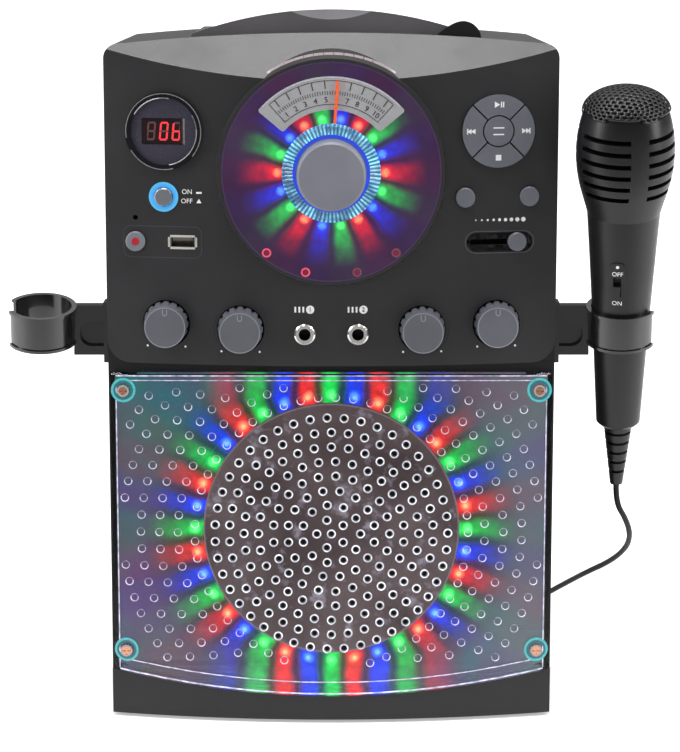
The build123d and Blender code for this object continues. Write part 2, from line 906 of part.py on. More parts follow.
def make_display_module():
    """The dark display face with the recessed digit window."""
    disc = disc_along_y(display_x, display_height, bezel_inner - 0.05, clear_front, board_y)
    face = disc & bowed_zone(display_proud, 5)
    window = RectangleRounded(digit_window_width, digit_window_height, 1.2)
    window = extrude(facing(-60) * Pos(display_x, display_height) * window, 100)
    return face - (window & bowed_zone(2, 1))


def make_indicator_lenses():
    """Four light pipes in the window and the ring of light round the power button."""
    front = apex_y - collar_proud
    lenses = Part()
    for x, z in lamp_places():
        lenses = lenses + disc_along_y(x, z, lamp_radius, front - 0.3, front + lens_thickness + lamp_space)
    halo = disc_along_y(power_x, small_button_height, halo_outer - 0.03, clear_front, board_y)
    halo_hole_radius = power_radius + fit_gap
    halo = halo - disc_along_y(power_x, small_button_height, halo_hole_radius, clear_front - 10, board_y)
    return lenses + (halo & bowed_zone(0.7, panel_skin))


# ---- Speaker section


def cover_form(inset, z_bottom):
    """The cover's lofted form: straight in plan at the top edge, bowed at the bottom edge."""
    edge = half_width - cover_margin - inset
    back = frame_front_y

    def section(z, bulge):
        front = corner_y - 1.5 + inset
        bow = max(bulge, 0.4)
        lines = Curve() + [
            ThreePointArc((-edge, front), (0, front - bow), (edge, front)),
            Line((edge, front), (edge, back)),
            Line((edge, back), (-edge, back)),
            Line((-edge, back), (-edge, front)),
        ]
        return Pos(0, 0, z) * make_face(lines)

    return loft([section(z_bottom, front_bulge), section(cover_top - inset, 0.4)], ruled=True)


def cover_holes():
    """Sound holes in rings round the speaker's centre."""
    centres = [(0, 0)]
    for ring in range(1, cover_ring_count + 1):
        radius = ring * cover_ring_pitch
        count = round(2 * pi * radius / cover_hole_pitch)
        for n in range(count):
            angle = 2 * pi * n / count + (ring % 2) * pi / count
            centres.append((radius * cos(angle), radius * sin(angle)))
    places = [Pos(x, cover_centre_height + z) for x, z in centres]
    holes = Sketch() + [place * RegularPolygon(cover_hole_radius, 6) for place in places]
    return extrude(facing(frame_front_y) * holes, 4 * front_bulge)


def make_grille_cover():
    """The clear cover over the speaker, its sound holes, and a post for each corner screw."""
    low = plinth_middle_height - 6
    cover = cover_form(0, low)
    cover = chamfer(cover.edges().group_by(Axis.Z)[-1].sort_by(Axis.Y)[0], cover_bevel * 0.45)
    inside = cover_form(cover_skin, low) - Pos(0, 0, cover_skin + 1) * plinth_below(0)
    cover = cover - inside - plinth_below(seam_gap)
    for x, z in cover_screw_places():
        boss = disc_along_y(x, z, boss_radius, clear_front, frame_front_y)
        cover = cover + (boss & cover_form(0.01, low))
    cover = cover - cover_holes()
    for x, z in cover_screw_places():
        cover = cover - disc_along_y(x, z, screw_shank_radius + screw_gap, clear_front, frame_front_y + 1)
    return cover


def plinth_below(lift):
    """Everything below the plinth's arched top edge, raised by 'lift'."""
    front = clear_front - 20
    back = frame_front_y + 20
    whole = block((-housing_width, housing_width), (front, back), (-60, housing_width))
    return whole - plinth_limit(lift, front - 10, back + 10)


def cover_screw_front(z):
    """Depth of the cover's face at the corner screws."""
    share = (cover_top - z) / (cover_top - plinth_middle_height + 6)
    edge = half_width - cover_margin
    bow = front_bulge * share * (1 - (cover_screw_x / edge) ** 2)
    return corner_y - 1.5 - bow


def make_screws():
    """Cover screws and rear housing screws, all alike."""
    screws = Part()
    half = screw_slot_width / 2
    reach = screw_slot_half_length
    for x, z in cover_screw_places():
        seat = cover_screw_front(z) - 1.0
        front = seat - screw_head_height
        head = disc_along_y(x, z, screw_head_radius, front, seat)
        slot_y = (front - 1, front + screw_slot_depth)
        head = head - block((x - reach, x + reach), slot_y, (z - half, z + half))
        head = head - block((x - half, x + half), slot_y, (z - reach, z + reach))
        screws = screws + head + disc_along_y(x, z, screw_shank_radius, seat, frame_front_y + 2 * wall)
    for x, z in rear_screw_places():
        seat = rear_y - screw_recess
        head = disc_along_y(x, z, screw_head_radius, seat, seat + screw_head_height)
        screws = screws + head + disc_along_y(x, z, screw_shank_radius, rear_y - rear_screw_depth + 2, seat)
    return screws


def make_speaker_baffle():
    """The reflective panel round the speaker, recessed behind the cover."""
    height = speaker_opening_top - speaker_opening_bottom + 2 * baffle_overlap
    middle = (speaker_opening_top + speaker_opening_bottom) / 2
    shape = RectangleRounded(2 * (half_width - wall - fit_gap), height, baffle_overlap)
    front = frame_front_y + wall
    back = front + baffle_thickness
    plate = extrude(facing(back) * Pos(0, middle) * shape, baffle_thickness)
    for x, z in cover_screw_places():
        plate = plate - disc_along_y(x, z, screw_shank_radius + screw_gap, front - 1, back + 1)
    return plate - disc_along_y(0, speaker_height, cone_radius, front - 1, back + 1)


def make_led_ring_board():
    """The ring board round the speaker with its circle of lamps."""
    back = frame_front_y + wall
    front = back - led_board_thickness
    ring = disc_along_y(0, speaker_height, led_board_outer, front, back)
    ring = ring - disc_along_y(0, speaker_height, led_board_inner, front - 1, back + 1)
    lamp_circle = (led_board_inner + led_board_outer) / 2
    lamps = Part()
    for n in range(speaker_led_count):
        angle = 90 - 360 / speaker_led_count * n
        spot = Rot(0, 0, angle) * Pos(lamp_circle, 0) * Rectangle(lamp_side, lamp_side)
        lamps = lamps + extrude(facing(front) * Pos(0, speaker_height) * spot, lamp_thickness)
    return ring + lamps


def make_speaker_cloth():
    """The round cloth-covered frame in front of the cone."""
    back = frame_front_y + wall
    disc = disc_along_y(0, speaker_height, speaker_radius, back - cloth_thickness, back)
    disc = chamfer(disc.edges().group_by(Axis.Y)[0], cloth_thickness / 3)
    hollow_front = back - cloth_thickness + cloth_skin
    return disc - disc_along_y(0, speaker_height, speaker_radius - cloth_thickness, hollow_front, back + 1)


def revolved_y(points, z):
    """Revolve (radius, y) points about the speaker's axis."""
    face = make_face(Polyline(*[(radius, y) for radius, y in points], close=True))
    plane = Plane(origin=(0, 0, z), x_dir=(1, 0, 0), z_dir=(0, 0, 1))
    return revolve(plane * face, Axis((0, 0, z), (0, 1, 0)))


def make_speaker_frame():
    """Speaker basket and magnet, screwed behind the baffle."""
    face = frame_front_y + wall + baffle_thickness
    back = face + basket_depth
    floor = back - basket_sheet
    rim = cone_radius + basket_flange
    neck = magnet_radius - 4
    basket = revolved_y(
        [
            (cone_radius - 2, face),
            (rim, face),
            (rim, face + 2),
            (cone_radius + 1, face + 2),
            (neck, face + 30),
            (neck, back),
            (coil_gap_radius, back),
            (coil_gap_radius, floor),
            (neck - 2, floor),
            (cone_radius - 2, face + 2),
        ],
        speaker_height,
    )
    middle = Pos(0, face + basket_depth / 2 - 1, speaker_height)
    for n in range(4):
        opening = Pos(cone_radius - basket_flange, 0, 0) * Box(30, 20, 44)
        basket = basket - middle * Rot(0, 45 + 90 * n, 0) * opening
    magnet = disc_along_y(0, speaker_height, magnet_radius, back, back + magnet_depth)
    return basket + magnet


def make_speaker_cone():
    """The paper cone with its rolled edge and dust cap."""
    face = frame_front_y + wall + baffle_thickness
    outer = cone_radius - cone_clearance
    return revolved_y(
        [
            (0, face + 16),
            (14, face + 20),
            (outer - 9, face + 1),
            (outer - 5, face - 1.5),
            (outer - 1, face + 0.5),
            (outer, face + 0.5),
            (outer, face + 1.8),
            (outer - 2, face + 1.8),
            (outer - 5, face),
            (outer - 8.5, face + 2.2),
            (14, face + 21.5),
            (11, face + 30),
            (9.5, face + 30),
            (11, face + 20.5),
            (0, face + 17.5),
        ],
        speaker_height,
    )


# ---- Boards and sockets


def button_places():
    """Name, x, height and radius of the round push buttons."""
    return [
        ("power_button", power_x, small_button_height, power_radius),
        ("source_button", source_x, small_button_height, round_button_radius),
        ("repeat_button", repeat_x, small_button_height, round_button_radius),
        ("record_button", record_x, record_height, record_radius),
    ]


def key_directions():
    """Name and outward angle of the four keys round the middle one."""
    return [("next_key", 0), ("play_key", 90), ("previous_key", 180), ("stop_key", 270)]


def key_stem_place(angle):
    """Where a key's stem stands behind it."""
    radius = (key_inner_radius + key_outer_radius) / 2
    x = key_cluster_x + radius * cos(radians(angle))
    return x, key_cluster_height + radius * sin(radians(angle))


def make_control_board():
    """The front circuit board with its dial controls, push switches and slide switch."""
    width = (-board_half_width, board_half_width)
    height = (board_bottom, board_top)
    board = block(width, (board_y, board_y + board_thickness), height)
    half = dial_control_half
    for x, z in [(0, window_height)] + [(x, z) for _, x, z in knob_places()]:
        body = block((x - half, x + half), (board_y - dial_control_depth, board_y), (z - half, z + half))
        bushing = disc_along_y(x, z, bushing_radius, board_y - bushing_depth, board_y)
        bore_y = (board_y - bushing_depth - 1, board_y - shaft_in_control + touch_gap + 0.1)
        board = board + body + bushing - disc_along_y(x, z, shaft_radius + running_gap, *bore_y)
    switches = [(x, z) for _, x, z, _ in button_places()]
    switches += [key_stem_place(angle) for _, angle in key_directions()]
    switches.append((key_cluster_x, key_cluster_height))
    half = switch_half
    for x, z in switches:
        board = board + block((x - half, x + half), (switch_face_y, board_y), (z - half, z + half))
    holder = slider_frame() * block((-17, 17), (slider_switch_depth, 2 * slider_switch_depth), (-4, 4))
    board = board + (holder & block((0, half_width), (clear_front, board_y), height))
    for side in (-1, 1):
        for z in board_pillar_heights:
            x = side * board_pillar_x
            board = board + disc_along_y(x, z, board_pillar_radius, frame_front_y + wall, board_y)
    return board


def make_main_board():
    """The main board, standing on two rails behind the speaker, with its heat sink and parts."""
    left, right = main_board_x
    front = main_board_y
    board = block(main_board_x, (front, front + board_thickness), main_board_z)
    rail_y = (front - 4, front + 6)
    rail_z = (base_top, main_board_z[0] + 4)
    rails = block((left, left + rail_width), rail_y, rail_z)
    rails = rails + block((right - rail_width, right), rail_y, rail_z)
    parts_y = (front - main_part_depth, front)
    heat_sink = block((left + 10, left + 50), parts_y, (main_board_z[0] + 20, main_board_z[0] + 70))
    board = board + rails + heat_sink
    for n in range(capacitor_count):
        x = right - 90 + capacitor_pitch * n
        board = board + disc_along_y(x, main_board_z[1] - 30, capacitor_radius, *parts_y)
    return board


def make_usb_socket():
    """The USB socket with its tongue, soldered to the control board."""
    front = front_y(usb_x - usb_width / 2) - 0.2
    width = (usb_x - usb_width / 2, usb_x + usb_width / 2)
    height = (record_height - usb_height / 2, record_height + usb_height / 2)
    shell = block(width, (front, board_y), height)
    low, high = height[0] + usb_wall, height[1] - usb_wall
    inside = block((width[0] + usb_wall, width[1] - usb_wall), (front - 1, front + usb_depth), (low, high))
    tongue_x = (width[0] + 1.4, width[1] - 1.4)
    tongue = block(tongue_x, (front + 1, front + usb_depth + 0.1), (high - usb_tongue, high))
    return shell - inside + tongue


def make_mic_jacks():
    """The two microphone jacks: nut ring, barrel and body on the board."""
    jacks = Part()
    for side in (-1, 1):
        surface = front_y(jack_x - jack_nut_radius)
        nut = disc_along_y(side * jack_x, jack_height, jack_nut_radius, surface - jack_nut_proud, surface)
        nut = chamfer(nut.edges().group_by(Axis.Y)[0], jack_nut_chamfer)
        barrel = disc_along_y(side * jack_x, jack_height, jack_barrel_radius, surface, jack_body_front + 2)
        body = block(
            (side * jack_x - jack_body_half, side * jack_x + jack_body_half),
            (jack_body_front, board_y),
            (jack_height - jack_body_half, jack_height + jack_body_half),
        )
        bore = disc_along_y(side * jack_x, jack_height, jack_bore_radius, surface - 10, board_y - 4)
        jacks = jacks + (nut + barrel + body - bore)
    return jacks


def make_rear_jacks():
    """Three round sound sockets and the power inlet with its centre pin, on one strip."""
    floor = rear_y - recess_depth
    strip_back = floor - recess_wall
    strip = block(
        (socket_x - socket_strip_half_length, socket_x + socket_strip_half_length),
        (strip_back - socket_strip_thickness, strip_back),
        (socket_height - socket_strip_half_height, socket_height + socket_strip_half_height),
    )
    *sound_places, power_place = rear_socket_places()
    for x in sound_places:
        barrel = disc_along_y(x, socket_height, rca_radius, strip_back, floor + rca_length)
        bore = disc_along_y(x, socket_height, rca_bore_radius, floor + 2, rear_y)
        strip = strip + (barrel - bore)
    barrel = disc_along_y(power_place, socket_height, rca_radius, strip_back, floor + dc_length)
    barrel = barrel - disc_along_y(power_place, socket_height, dc_bore_radius, strip_back + 1, rear_y)
    pin = disc_along_y(power_place, socket_height, dc_pin_radius, strip_back + 0.5, floor + dc_length - 0.5)
    return strip + barrel + pin


# ---- Push buttons, keys and slider


def make_round_button(x, z, radius):
    """A round push button: cap, retaining flange behind the panel and a stem to its switch."""
    reach = abs(x) + radius + flange_margin
    flange_y = front_y(min(reach, half_width - 2)) + panel_skin + touch_gap + 0.4
    cap_front = front_y(abs(x) + radius) - 2 * key_proud
    cap = disc_along_y(x, z, radius, cap_front, flange_y + 1)
    cap = chamfer(cap.edges().group_by(Axis.Y)[0], button_chamfer)
    flange = disc_along_y(x, z, radius + flange_margin, flange_y, flange_y + flange_thickness)
    stem = disc_along_y(x, z, stem_radius, flange_y, switch_face_y - floor_clearance)
    return cap + flange + stem


def make_sector_key(angle):
    """One of the four keys in the ring, with a flange behind the panel and a stem."""
    ring = Circle(key_outer_radius) - Circle(key_inner_radius)
    reach = key_outer_radius * 3
    wedge = make_face(Polyline((0, 0), (reach, -reach), (reach, reach), close=True))
    wedge = Pos(key_slit / sqrt(2), 0) * wedge
    face = Pos(key_cluster_x, key_cluster_height) * Rot(0, 0, angle) * (ring & wedge)
    cap = extrude(facing(-80) * face, 60) & bowed_zone(key_proud, 4.6)
    back_ring = Circle(key_outer_radius + 1.6) - Circle(key_inner_radius)
    back = Pos(key_cluster_x, key_cluster_height) * Rot(0, 0, angle) * (back_ring & wedge)
    flange = extrude(facing(-80) * back, 60) & bowed_zone(-panel_skin - touch_gap - 0.2, 4.6)
    x, z = key_stem_place(angle)
    stem = disc_along_y(x, z, stem_radius, front_y(x) + 4, switch_face_y - floor_clearance)
    return cap + flange + stem


def make_middle_key():
    """The round key in the middle of the ring."""
    x, z = key_cluster_x, key_cluster_height
    radius = key_inner_radius - 2 * fit_gap
    flange_depth = 2 * panel_skin + 0.2
    back = flange_depth + 1.4
    cap = disc_along_y(x, z, radius, clear_front, board_y) & bowed_zone(key_proud, back)
    flange = disc_along_y(x, z, radius + 2, clear_front, board_y) & bowed_zone(-flange_depth, back)
    stem = disc_along_y(x, z, stem_radius, front_y(x) + 2 * panel_skin, switch_face_y - floor_clearance)
    return cap + flange + stem


def make_light_slider():
    """The slide button of the lights: a round cap in the slot with a stem through the rail."""
    back = slider_recess - touch_gap
    cap = disc_along_y(slider_rest, 0, slider_radius, back - slider_cap, back)
    cap = chamfer(cap.edges().group_by(Axis.Y)[0], button_chamfer)
    half = slider_rail_height / 2 - fit_gap
    stem_x = (slider_rest - slider_stem_half, slider_rest + slider_stem_half)
    stem = block(stem_x, (back - 1, slider_switch_depth - switch_gap), (-half, half))
    return slider_frame() * (cap + stem)


def make_knob(x, z):
    """A fluted knob with a raised face and its shaft."""
    back = knob_floor(x) - knob_lift
    front = front_y(x) - knob_height
    skirt = Solid.make_cone(knob_radius, knob_face_radius, back - front, facing(back))
    skirt = Pos(x, 0, z) * skirt
    grooves = Part()
    for n in range(knob_flutes):
        angle = 2 * pi * (n + 0.5) / knob_flutes
        place = (x + knob_radius * cos(angle), z + knob_radius * sin(angle))
        grooves = grooves + disc_along_y(place[0], place[1], knob_flute_radius, front + 2.5, back + 1)
    knob = skirt - grooves
    shaft = disc_along_y(x, z, shaft_radius, back - 1, board_y - shaft_in_control)
    return knob + shaft


# ---- Disc compartment


def make_disc_tray():
    """The round well that the disc lies in, with the spindle hole, lens slot and mounting posts."""
    rim_top = lid_seat_height - lid_wall
    wall_radius = well_radius + well_wall
    body = post(0, disc_y, wall_radius, well_floor_height, rim_top)
    flange = post(0, disc_y, wall_radius + 7, rim_top - well_wall, rim_top)
    flange = flange & block((-80, 80), (-90, hinge_y - 5.5 - well_wall), (300, 400))
    tray = body + flange - post(0, disc_y, well_radius, well_floor_height + well_wall, rim_top + 1)
    tray = tray - post(0, disc_y, platter_radius + 1.5, well_floor_height - 1, rim_top)
    slot_x = (platter_radius + 3, well_radius + 1)
    slot_y = (disc_y - lens_slot_width / 2, disc_y + lens_slot_width / 2)
    slot = block(slot_x, slot_y, (well_floor_height - 1, well_floor_height + well_wall + 1))
    tray = tray - slot
    for x, y in chassis_posts():
        tray = tray + post(x, y, 3.5, plate_top, well_floor_height + 0.5)
    return tray


def chassis_posts():
    """Where the drive plate hangs from the tray."""
    return [(-28, -36), (-28, 24), (50, -40), (16, 44)]


def guide_rod_places():
    """The frame of each guide rod: its axis runs along X."""
    ys = (disc_y - rod_spread, disc_y + rod_spread)
    return [Pos(rod_middle_x, y, rod_height) * Rot(0, 90, 0) for y in ys]


def make_drive_plate():
    """The drive's base plate with its rod posts and the gear pin."""
    plate = block((-36, 88), (-46, 52), (plate_top - plate_thickness, plate_top))
    plate = fillet(plate.edges().filter_by(Axis.Z), 5)
    half = rod_stand_half
    for end in (-1, 1):
        x = rod_middle_x + end * (rod_length / 2 - half)
        for side in (-1, 1):
            y = disc_y + side * rod_spread
            stand = block((x - half, x + half), (y - half, y + half), (plate_top, rod_height + half))
            plate = plate + stand
    for place in guide_rod_places():
        plate = plate - place * Cylinder(rod_radius, rod_length)
    pin_top = plate_top + 1 + large_gear_width + 0.4 + small_gear_width + 0.5
    plate = plate + post(gear_x, gear_y, gear_pin_radius, plate_top, pin_top)
    plate = plate + post(gear_x, gear_y, 2 * gear_pin_radius, plate_top, plate_top + 0.7)
    return plate - post(pinion_x, gear_y, pinion_hole_radius, plate_top - 5, plate_top + 5)


def make_guide_rods():
    """Two steel rods that carry the pickup sled."""
    return Part() + [place * Cylinder(rod_radius, rod_length) for place in guide_rod_places()]


def make_drive_motors():
    """The spindle motor on the plate and the sled motor under it."""
    motor_top = plate_top + motor_length
    spindle = post(0, disc_y, motor_radius, plate_top, motor_top)
    spindle = spindle - post(0, disc_y, spindle_radius + running_gap, plate_top + 1, motor_top + 1)
    top = plate_top - plate_thickness
    sled = post(pinion_x, gear_y, sled_motor_radius, top - sled_motor_length, top)
    sled = sled - post(pinion_x, gear_y, spindle_radius + running_gap, top - 17, top + 1)
    return Part() + [spindle, sled]


def make_disc_spindle():
    """The disc's turntable: platter, centring hub and shaft."""
    platter_top = platter_height + platter_thickness
    nose_base = platter_top + disc_hub_length
    platter = post(0, disc_y, platter_radius, platter_height, platter_top)
    hub = post(0, disc_y, disc_hub_radius, platter_top, nose_base)
    nose = Pos(0, disc_y, nose_base + 0.5) * Cone(disc_hub_radius, disc_hub_radius - 1.5, 1.0)
    shaft = post(0, disc_y, spindle_radius, plate_top + 1.5, platter_height)
    boss = post(0, disc_y, 4 * spindle_radius, plate_top + motor_length + motor_gap, platter_height)
    return platter + hub + nose + shaft + boss


def gear_outline(teeth):
    """A spur gear's outline, with slim straight-flanked teeth; a tooth stands on local +X."""
    pitch_radius = gear_module * teeth / 2
    root = pitch_radius - 1.15 * gear_module
    tip = pitch_radius + 0.8 * gear_module
    half_pitch = tooth_share * gear_module * pi / 2
    points = [
        (root - 0.3, -half_pitch * 1.55),
        (tip, -half_pitch * 0.5),
        (tip, half_pitch * 0.5),
        (root - 0.3, half_pitch * 1.55),
    ]
    tooth = make_face(Polyline(*points, close=True))
    outline = Circle(root) + [Rot(0, 0, 360 / teeth * n) * tooth for n in range(teeth)]
    return outline


def make_sled_gear():
    """The stepped gear between the motor's pinion and the sled's rack."""
    low = plate_top + 1
    step = low + large_gear_width
    wheel = extrude(Pos(gear_x, gear_y, low) * gear_outline(large_gear_teeth), large_gear_width)
    half_tooth = 180 / small_gear_teeth
    small = Rot(0, 0, -90 + half_tooth) * gear_outline(small_gear_teeth)
    small = extrude(Pos(gear_x, gear_y, step) * small, small_gear_width + 0.4)
    gear = wheel + small
    return gear - post(gear_x, gear_y, gear_pin_radius + running_gap, low - 1, step + 10)


def make_motor_pinion():
    """The sled motor's pinion on its shaft."""
    low = plate_top + 0.8
    half_tooth = 180 / small_gear_teeth
    outline = Rot(0, 0, 180 + half_tooth) * gear_outline(small_gear_teeth)
    pinion = extrude(Pos(pinion_x, gear_y, low) * outline, large_gear_width + 0.4)
    return pinion + post(pinion_x, gear_y, spindle_radius, plate_top - plate_thickness - 16, low)


def make_pickup_sled():
    """The sled with its rod bores, lens turret and rack."""
    low = rod_height - sled_half_height
    y = (disc_y - rod_spread - 5, disc_y + rod_spread + 5)
    x = (sled_rest_x - sled_length / 2, sled_rest_x + sled_length / 2)
    body = block(x, y, (low, rod_height + sled_half_height))
    waist = block(
        (sled_rest_x - sled_length / 2 - 1, sled_rest_x + sled_length / 2 + 1),
        (disc_y - 12, disc_y + 12),
        (rod_height - 7, rod_height - 2),
    )
    body = body - waist
    for side in (-1, 1):
        bore = Pos(sled_rest_x, disc_y + side * rod_spread, rod_height)
        body = body - bore * Rot(0, 90, 0) * Cylinder(rod_radius + running_gap, sled_length + 10)
    turret = post(sled_rest_x, disc_y, lens_radius, rod_height + 5, well_floor_height + well_wall + 0.6)
    turret = turret - post(sled_rest_x, disc_y, lens_radius - 1.6, well_floor_height + well_wall - 0.4, 400)
    pitch_y = gear_y - gear_module * small_gear_teeth / 2
    root_y = pitch_y - 1.15 * gear_module
    rack_z = (plate_top + 1 + large_gear_width + 0.8, plate_top + 1 + large_gear_width + small_gear_width)
    rack_x = (gear_x - sled_travel - 4.5, gear_x + 4.5)
    rack = block(rack_x, (y[1] - 1.2, root_y), rack_z)
    link = block((sled_rest_x - 10, sled_rest_x + 10), (y[1] - 1.2, root_y), (rack_z[0], low + 2))
    pitch = gear_module * pi
    half_pitch = tooth_share * pitch / 2
    teeth = Sketch()
    count = int((sled_travel + 6) / pitch)
    for n in range(-count, 2):
        x = gear_x + n * pitch
        teeth = teeth + make_face(
            Polyline(
                (x - half_pitch * 1.55, root_y - 0.3),
                (x + half_pitch * 1.55, root_y - 0.3),
                (x + half_pitch * 0.5, pitch_y + 0.8 * gear_module),
                (x - half_pitch * 0.5, pitch_y + 0.8 * gear_module),
                close=True,
            )
        )
    teeth = extrude(Pos(0, 0, rack_z[0]) * teeth, rack_z[1] - rack_z[0])
    return body + turret + rack + link + teeth


def lid_form(inset):
    """The lid's outer form: an arch that falls towards the hinge, with a flange along each side."""
    edge = lid_half_width - inset
    low = lid_seat_height + touch_gap
    front = lid_front + inset
    rear = lid_rear - inset
    side_plane = Plane(origin=(-edge, 0, 0), x_dir=(0, 1, 0), z_dir=(1, 0, 0))
    flange_top = lid_flange_height - inset
    flange_rear = flange_top - deck_fall * (lid_rear - lid_front)
    flange = Polyline((front, low), (front, flange_top), (rear, flange_rear), (rear, low), close=True)
    flange = extrude(side_plane * make_face(flange), 2 * edge)
    crown = lid_crown_height - inset
    arch = Pos(0, lid_crown_height - lid_crown_radius) * Circle(lid_crown_radius - inset)
    arch = extrude(facing(lid_rear + 10) * arch, lid_rear - lid_front + 20)
    arch = tilted_back(arch, lid_front, lid_crown_height, lid_rake)
    rake = tan(radians(lid_rake))
    bend = (lid_bend_y, crown - rake * (lid_bend_y - lid_front) + 1)
    side = Curve() + [
        Line((front, low), (front, crown + 1)),
        Line((front, crown + 1), bend),
        Spline(bend, (rear, flange_rear), tangents=((1, -rake), (1, -lid_rear_fall))),
        Line((rear, flange_rear), (rear, low)),
        Line((rear, low), (front, low)),
    ]
    side = extrude(side_plane * make_face(side), 2 * edge)
    return flange + (arch & side)


def thumb_scoop(grow):
    """The lens-shaped scoop at the front of the lid's crown."""
    return Pos(0, lid_front - 20, scoop_height) * Sphere(scoop_radius + grow)


def make_disc_lid():
    """The arched lid over the disc well, with a thumb scoop, hinge lugs and moulded pins."""
    lid = lid_form(0) - thumb_scoop(0)
    inside = lid_form(lid_wall) - thumb_scoop(lid_wall)
    mouth = lid_half_width - hinge_lug_length - 1
    mouth_y = (lid_front + lid_wall, hinge_y - trough_front - hinge_lug_radius)
    below = block((-mouth, mouth), mouth_y, (deck_seam_height, lid_seat_height + 2))
    lid = lid - (inside + below)
    for side in (-1, 1):
        x = side * (lid_half_width - hinge_lug_length / 2)
        lug = Rot(0, 90, 0) * Cylinder(hinge_lug_radius, hinge_lug_length)
        pin_x = side * (lid_half_width + hinge_pin_length / 2)
        pin = Rot(0, 90, 0) * Cylinder(hinge_pin_radius, hinge_pin_length)
        lid = lid + Pos(x, hinge_y, hinge_height) * lug + Pos(pin_x, hinge_y, hinge_height) * pin
    return lid


def make_disc_clamp():
    """The clamp puck under the lid that holds the disc on its hub."""
    face = platter_height + platter_thickness + disc_hub_length + clamp_gap
    puck = post(0, disc_y, clamp_radius, face, face + clamp_thickness)
    puck = puck - post(0, disc_y, clamp_radius - 4, face - 1, face + 1)
    stem = post(0, disc_y, clamp_stem_radius, face + 2, lid_crown_height)
    return puck + (stem & lid_form(lid_wall))


def make_lid_release():
    """The leaning, round-backed tab that frees the lid, with a foot under the deck."""
    y = (tab_y - tab_thickness / 2, tab_y + tab_thickness / 2)
    deck_under = ridge_height - deck_crown * (tab_right / half_width) ** 2 - wall - 1.2
    left = (tab_left, tab_base_height)
    left_shoulder = ((tab_left + tab_peak_x) / 2 - 1, tab_base_height + 0.68 * tab_rise)
    peak = (tab_peak_x, tab_base_height + tab_rise)
    right_shoulder = ((tab_right + tab_peak_x) / 2 + 1.8, tab_base_height + 0.62 * tab_rise)
    right = (tab_right, tab_base_height)
    outline = Curve() + [
        Spline(left, left_shoulder, peak, right_shoulder, right),
        Polyline(right, (tab_right, deck_under - 1), (tab_left, deck_under - 1), left),
    ]
    tab = extrude(facing(y[1]) * make_face(outline), tab_thickness)
    foot_x = (tab_left - tab_foot_margin, tab_right + tab_foot_margin)
    return tab + block(foot_x, y, (deck_under - 3, deck_under - touch_gap))


# ---- Microphone


def mic_frame(side=1):
    """The tilted frame of a holder ring: local z runs up along the microphone."""
    return Location((side * ring_x, ring_y, ring_height), (ring_tilt, side * ring_lean, 0))


def make_mic_holder(side):
    """A sprung ring with an open gap, and its arm with an oval pocket, fixed to the housing's side."""
    outer = ring_inner_radius + ring_wall
    ring = Cylinder(outer, ring_length)
    for end in (-1, 1):
        z = end * (ring_length - ring_flange_length) / 2
        ring = ring + Pos(0, 0, z) * Cylinder(outer + ring_flange, ring_flange_length)
    bore = Cylinder(ring_inner_radius, ring_length + 2)
    half = ring_gap_angle / 2
    reach = 60
    gap = make_face(
        Polyline(
            (0, 0),
            (side * reach * cos(radians(half)), -reach * sin(radians(half))),
            (side * reach * cos(radians(half)), reach * sin(radians(half))),
            close=True,
        )
    )
    gap = Pos(0, 0, -20) * extrude(gap, 40)
    hoop = mic_frame(side) * (ring - bore - gap)
    inner_x = half_width
    outer_x = ring_x - ring_inner_radius - ring_wall / 2
    low = ring_height - arm_height / 2 - 4
    arm = block((inner_x, outer_x), (ring_y, ring_y + arm_thickness), (low, low + arm_height))
    pocket = RectangleRounded(*arm_pocket_size, arm_pocket_radius)
    pocket_place = Pos(inner_x + 4, low + 12)
    pocket = extrude(facing(ring_y + arm_pocket_depth) * pocket_place * pocket, 2 * arm_pocket_depth)
    arm = arm - pocket
    root_y = (ring_y - 2, ring_y + arm_thickness + 2)
    root = block((inner_x, inner_x + arm_root_thickness), root_y, (low - 4, low + arm_height + 2))
    arm = arm + root
    if side < 0:
        arm = mirror(arm, about=Plane.YZ)
    return hoop + (arm - mic_frame(side) * Cylinder(outer - 0.2, 200))


def mic_outline(grow=0.0):
    """The microphone's solid of revolution from its lower rim to the mesh, grown by 'grow'."""
    rim = 12.4 + grow
    top = mic_mesh_radius + grow
    lines = Curve() + [
        Polyline((0, mic_low_s), (rim - 1.9, mic_low_s), (rim, -59.5)),
        Spline((rim, -59.5), (14.2 + grow, -27.0), (16.4 + grow, 11.0), (20.1 + grow, 67.0)),
        Spline(
            (20.1 + grow, 67.0),
            (24.6 + grow, 83.0),
            (26.9 + grow, 102.5),
            (top, mic_mesh_s),
            tangents=((0.25, 1), (-0.34, 1)),
        ),
        Line((top, mic_mesh_s), (0, mic_mesh_s)),
        Line((0, mic_mesh_s), (0, mic_low_s)),
    ]
    return revolve(Plane.XZ * make_face(lines), Axis.Z)


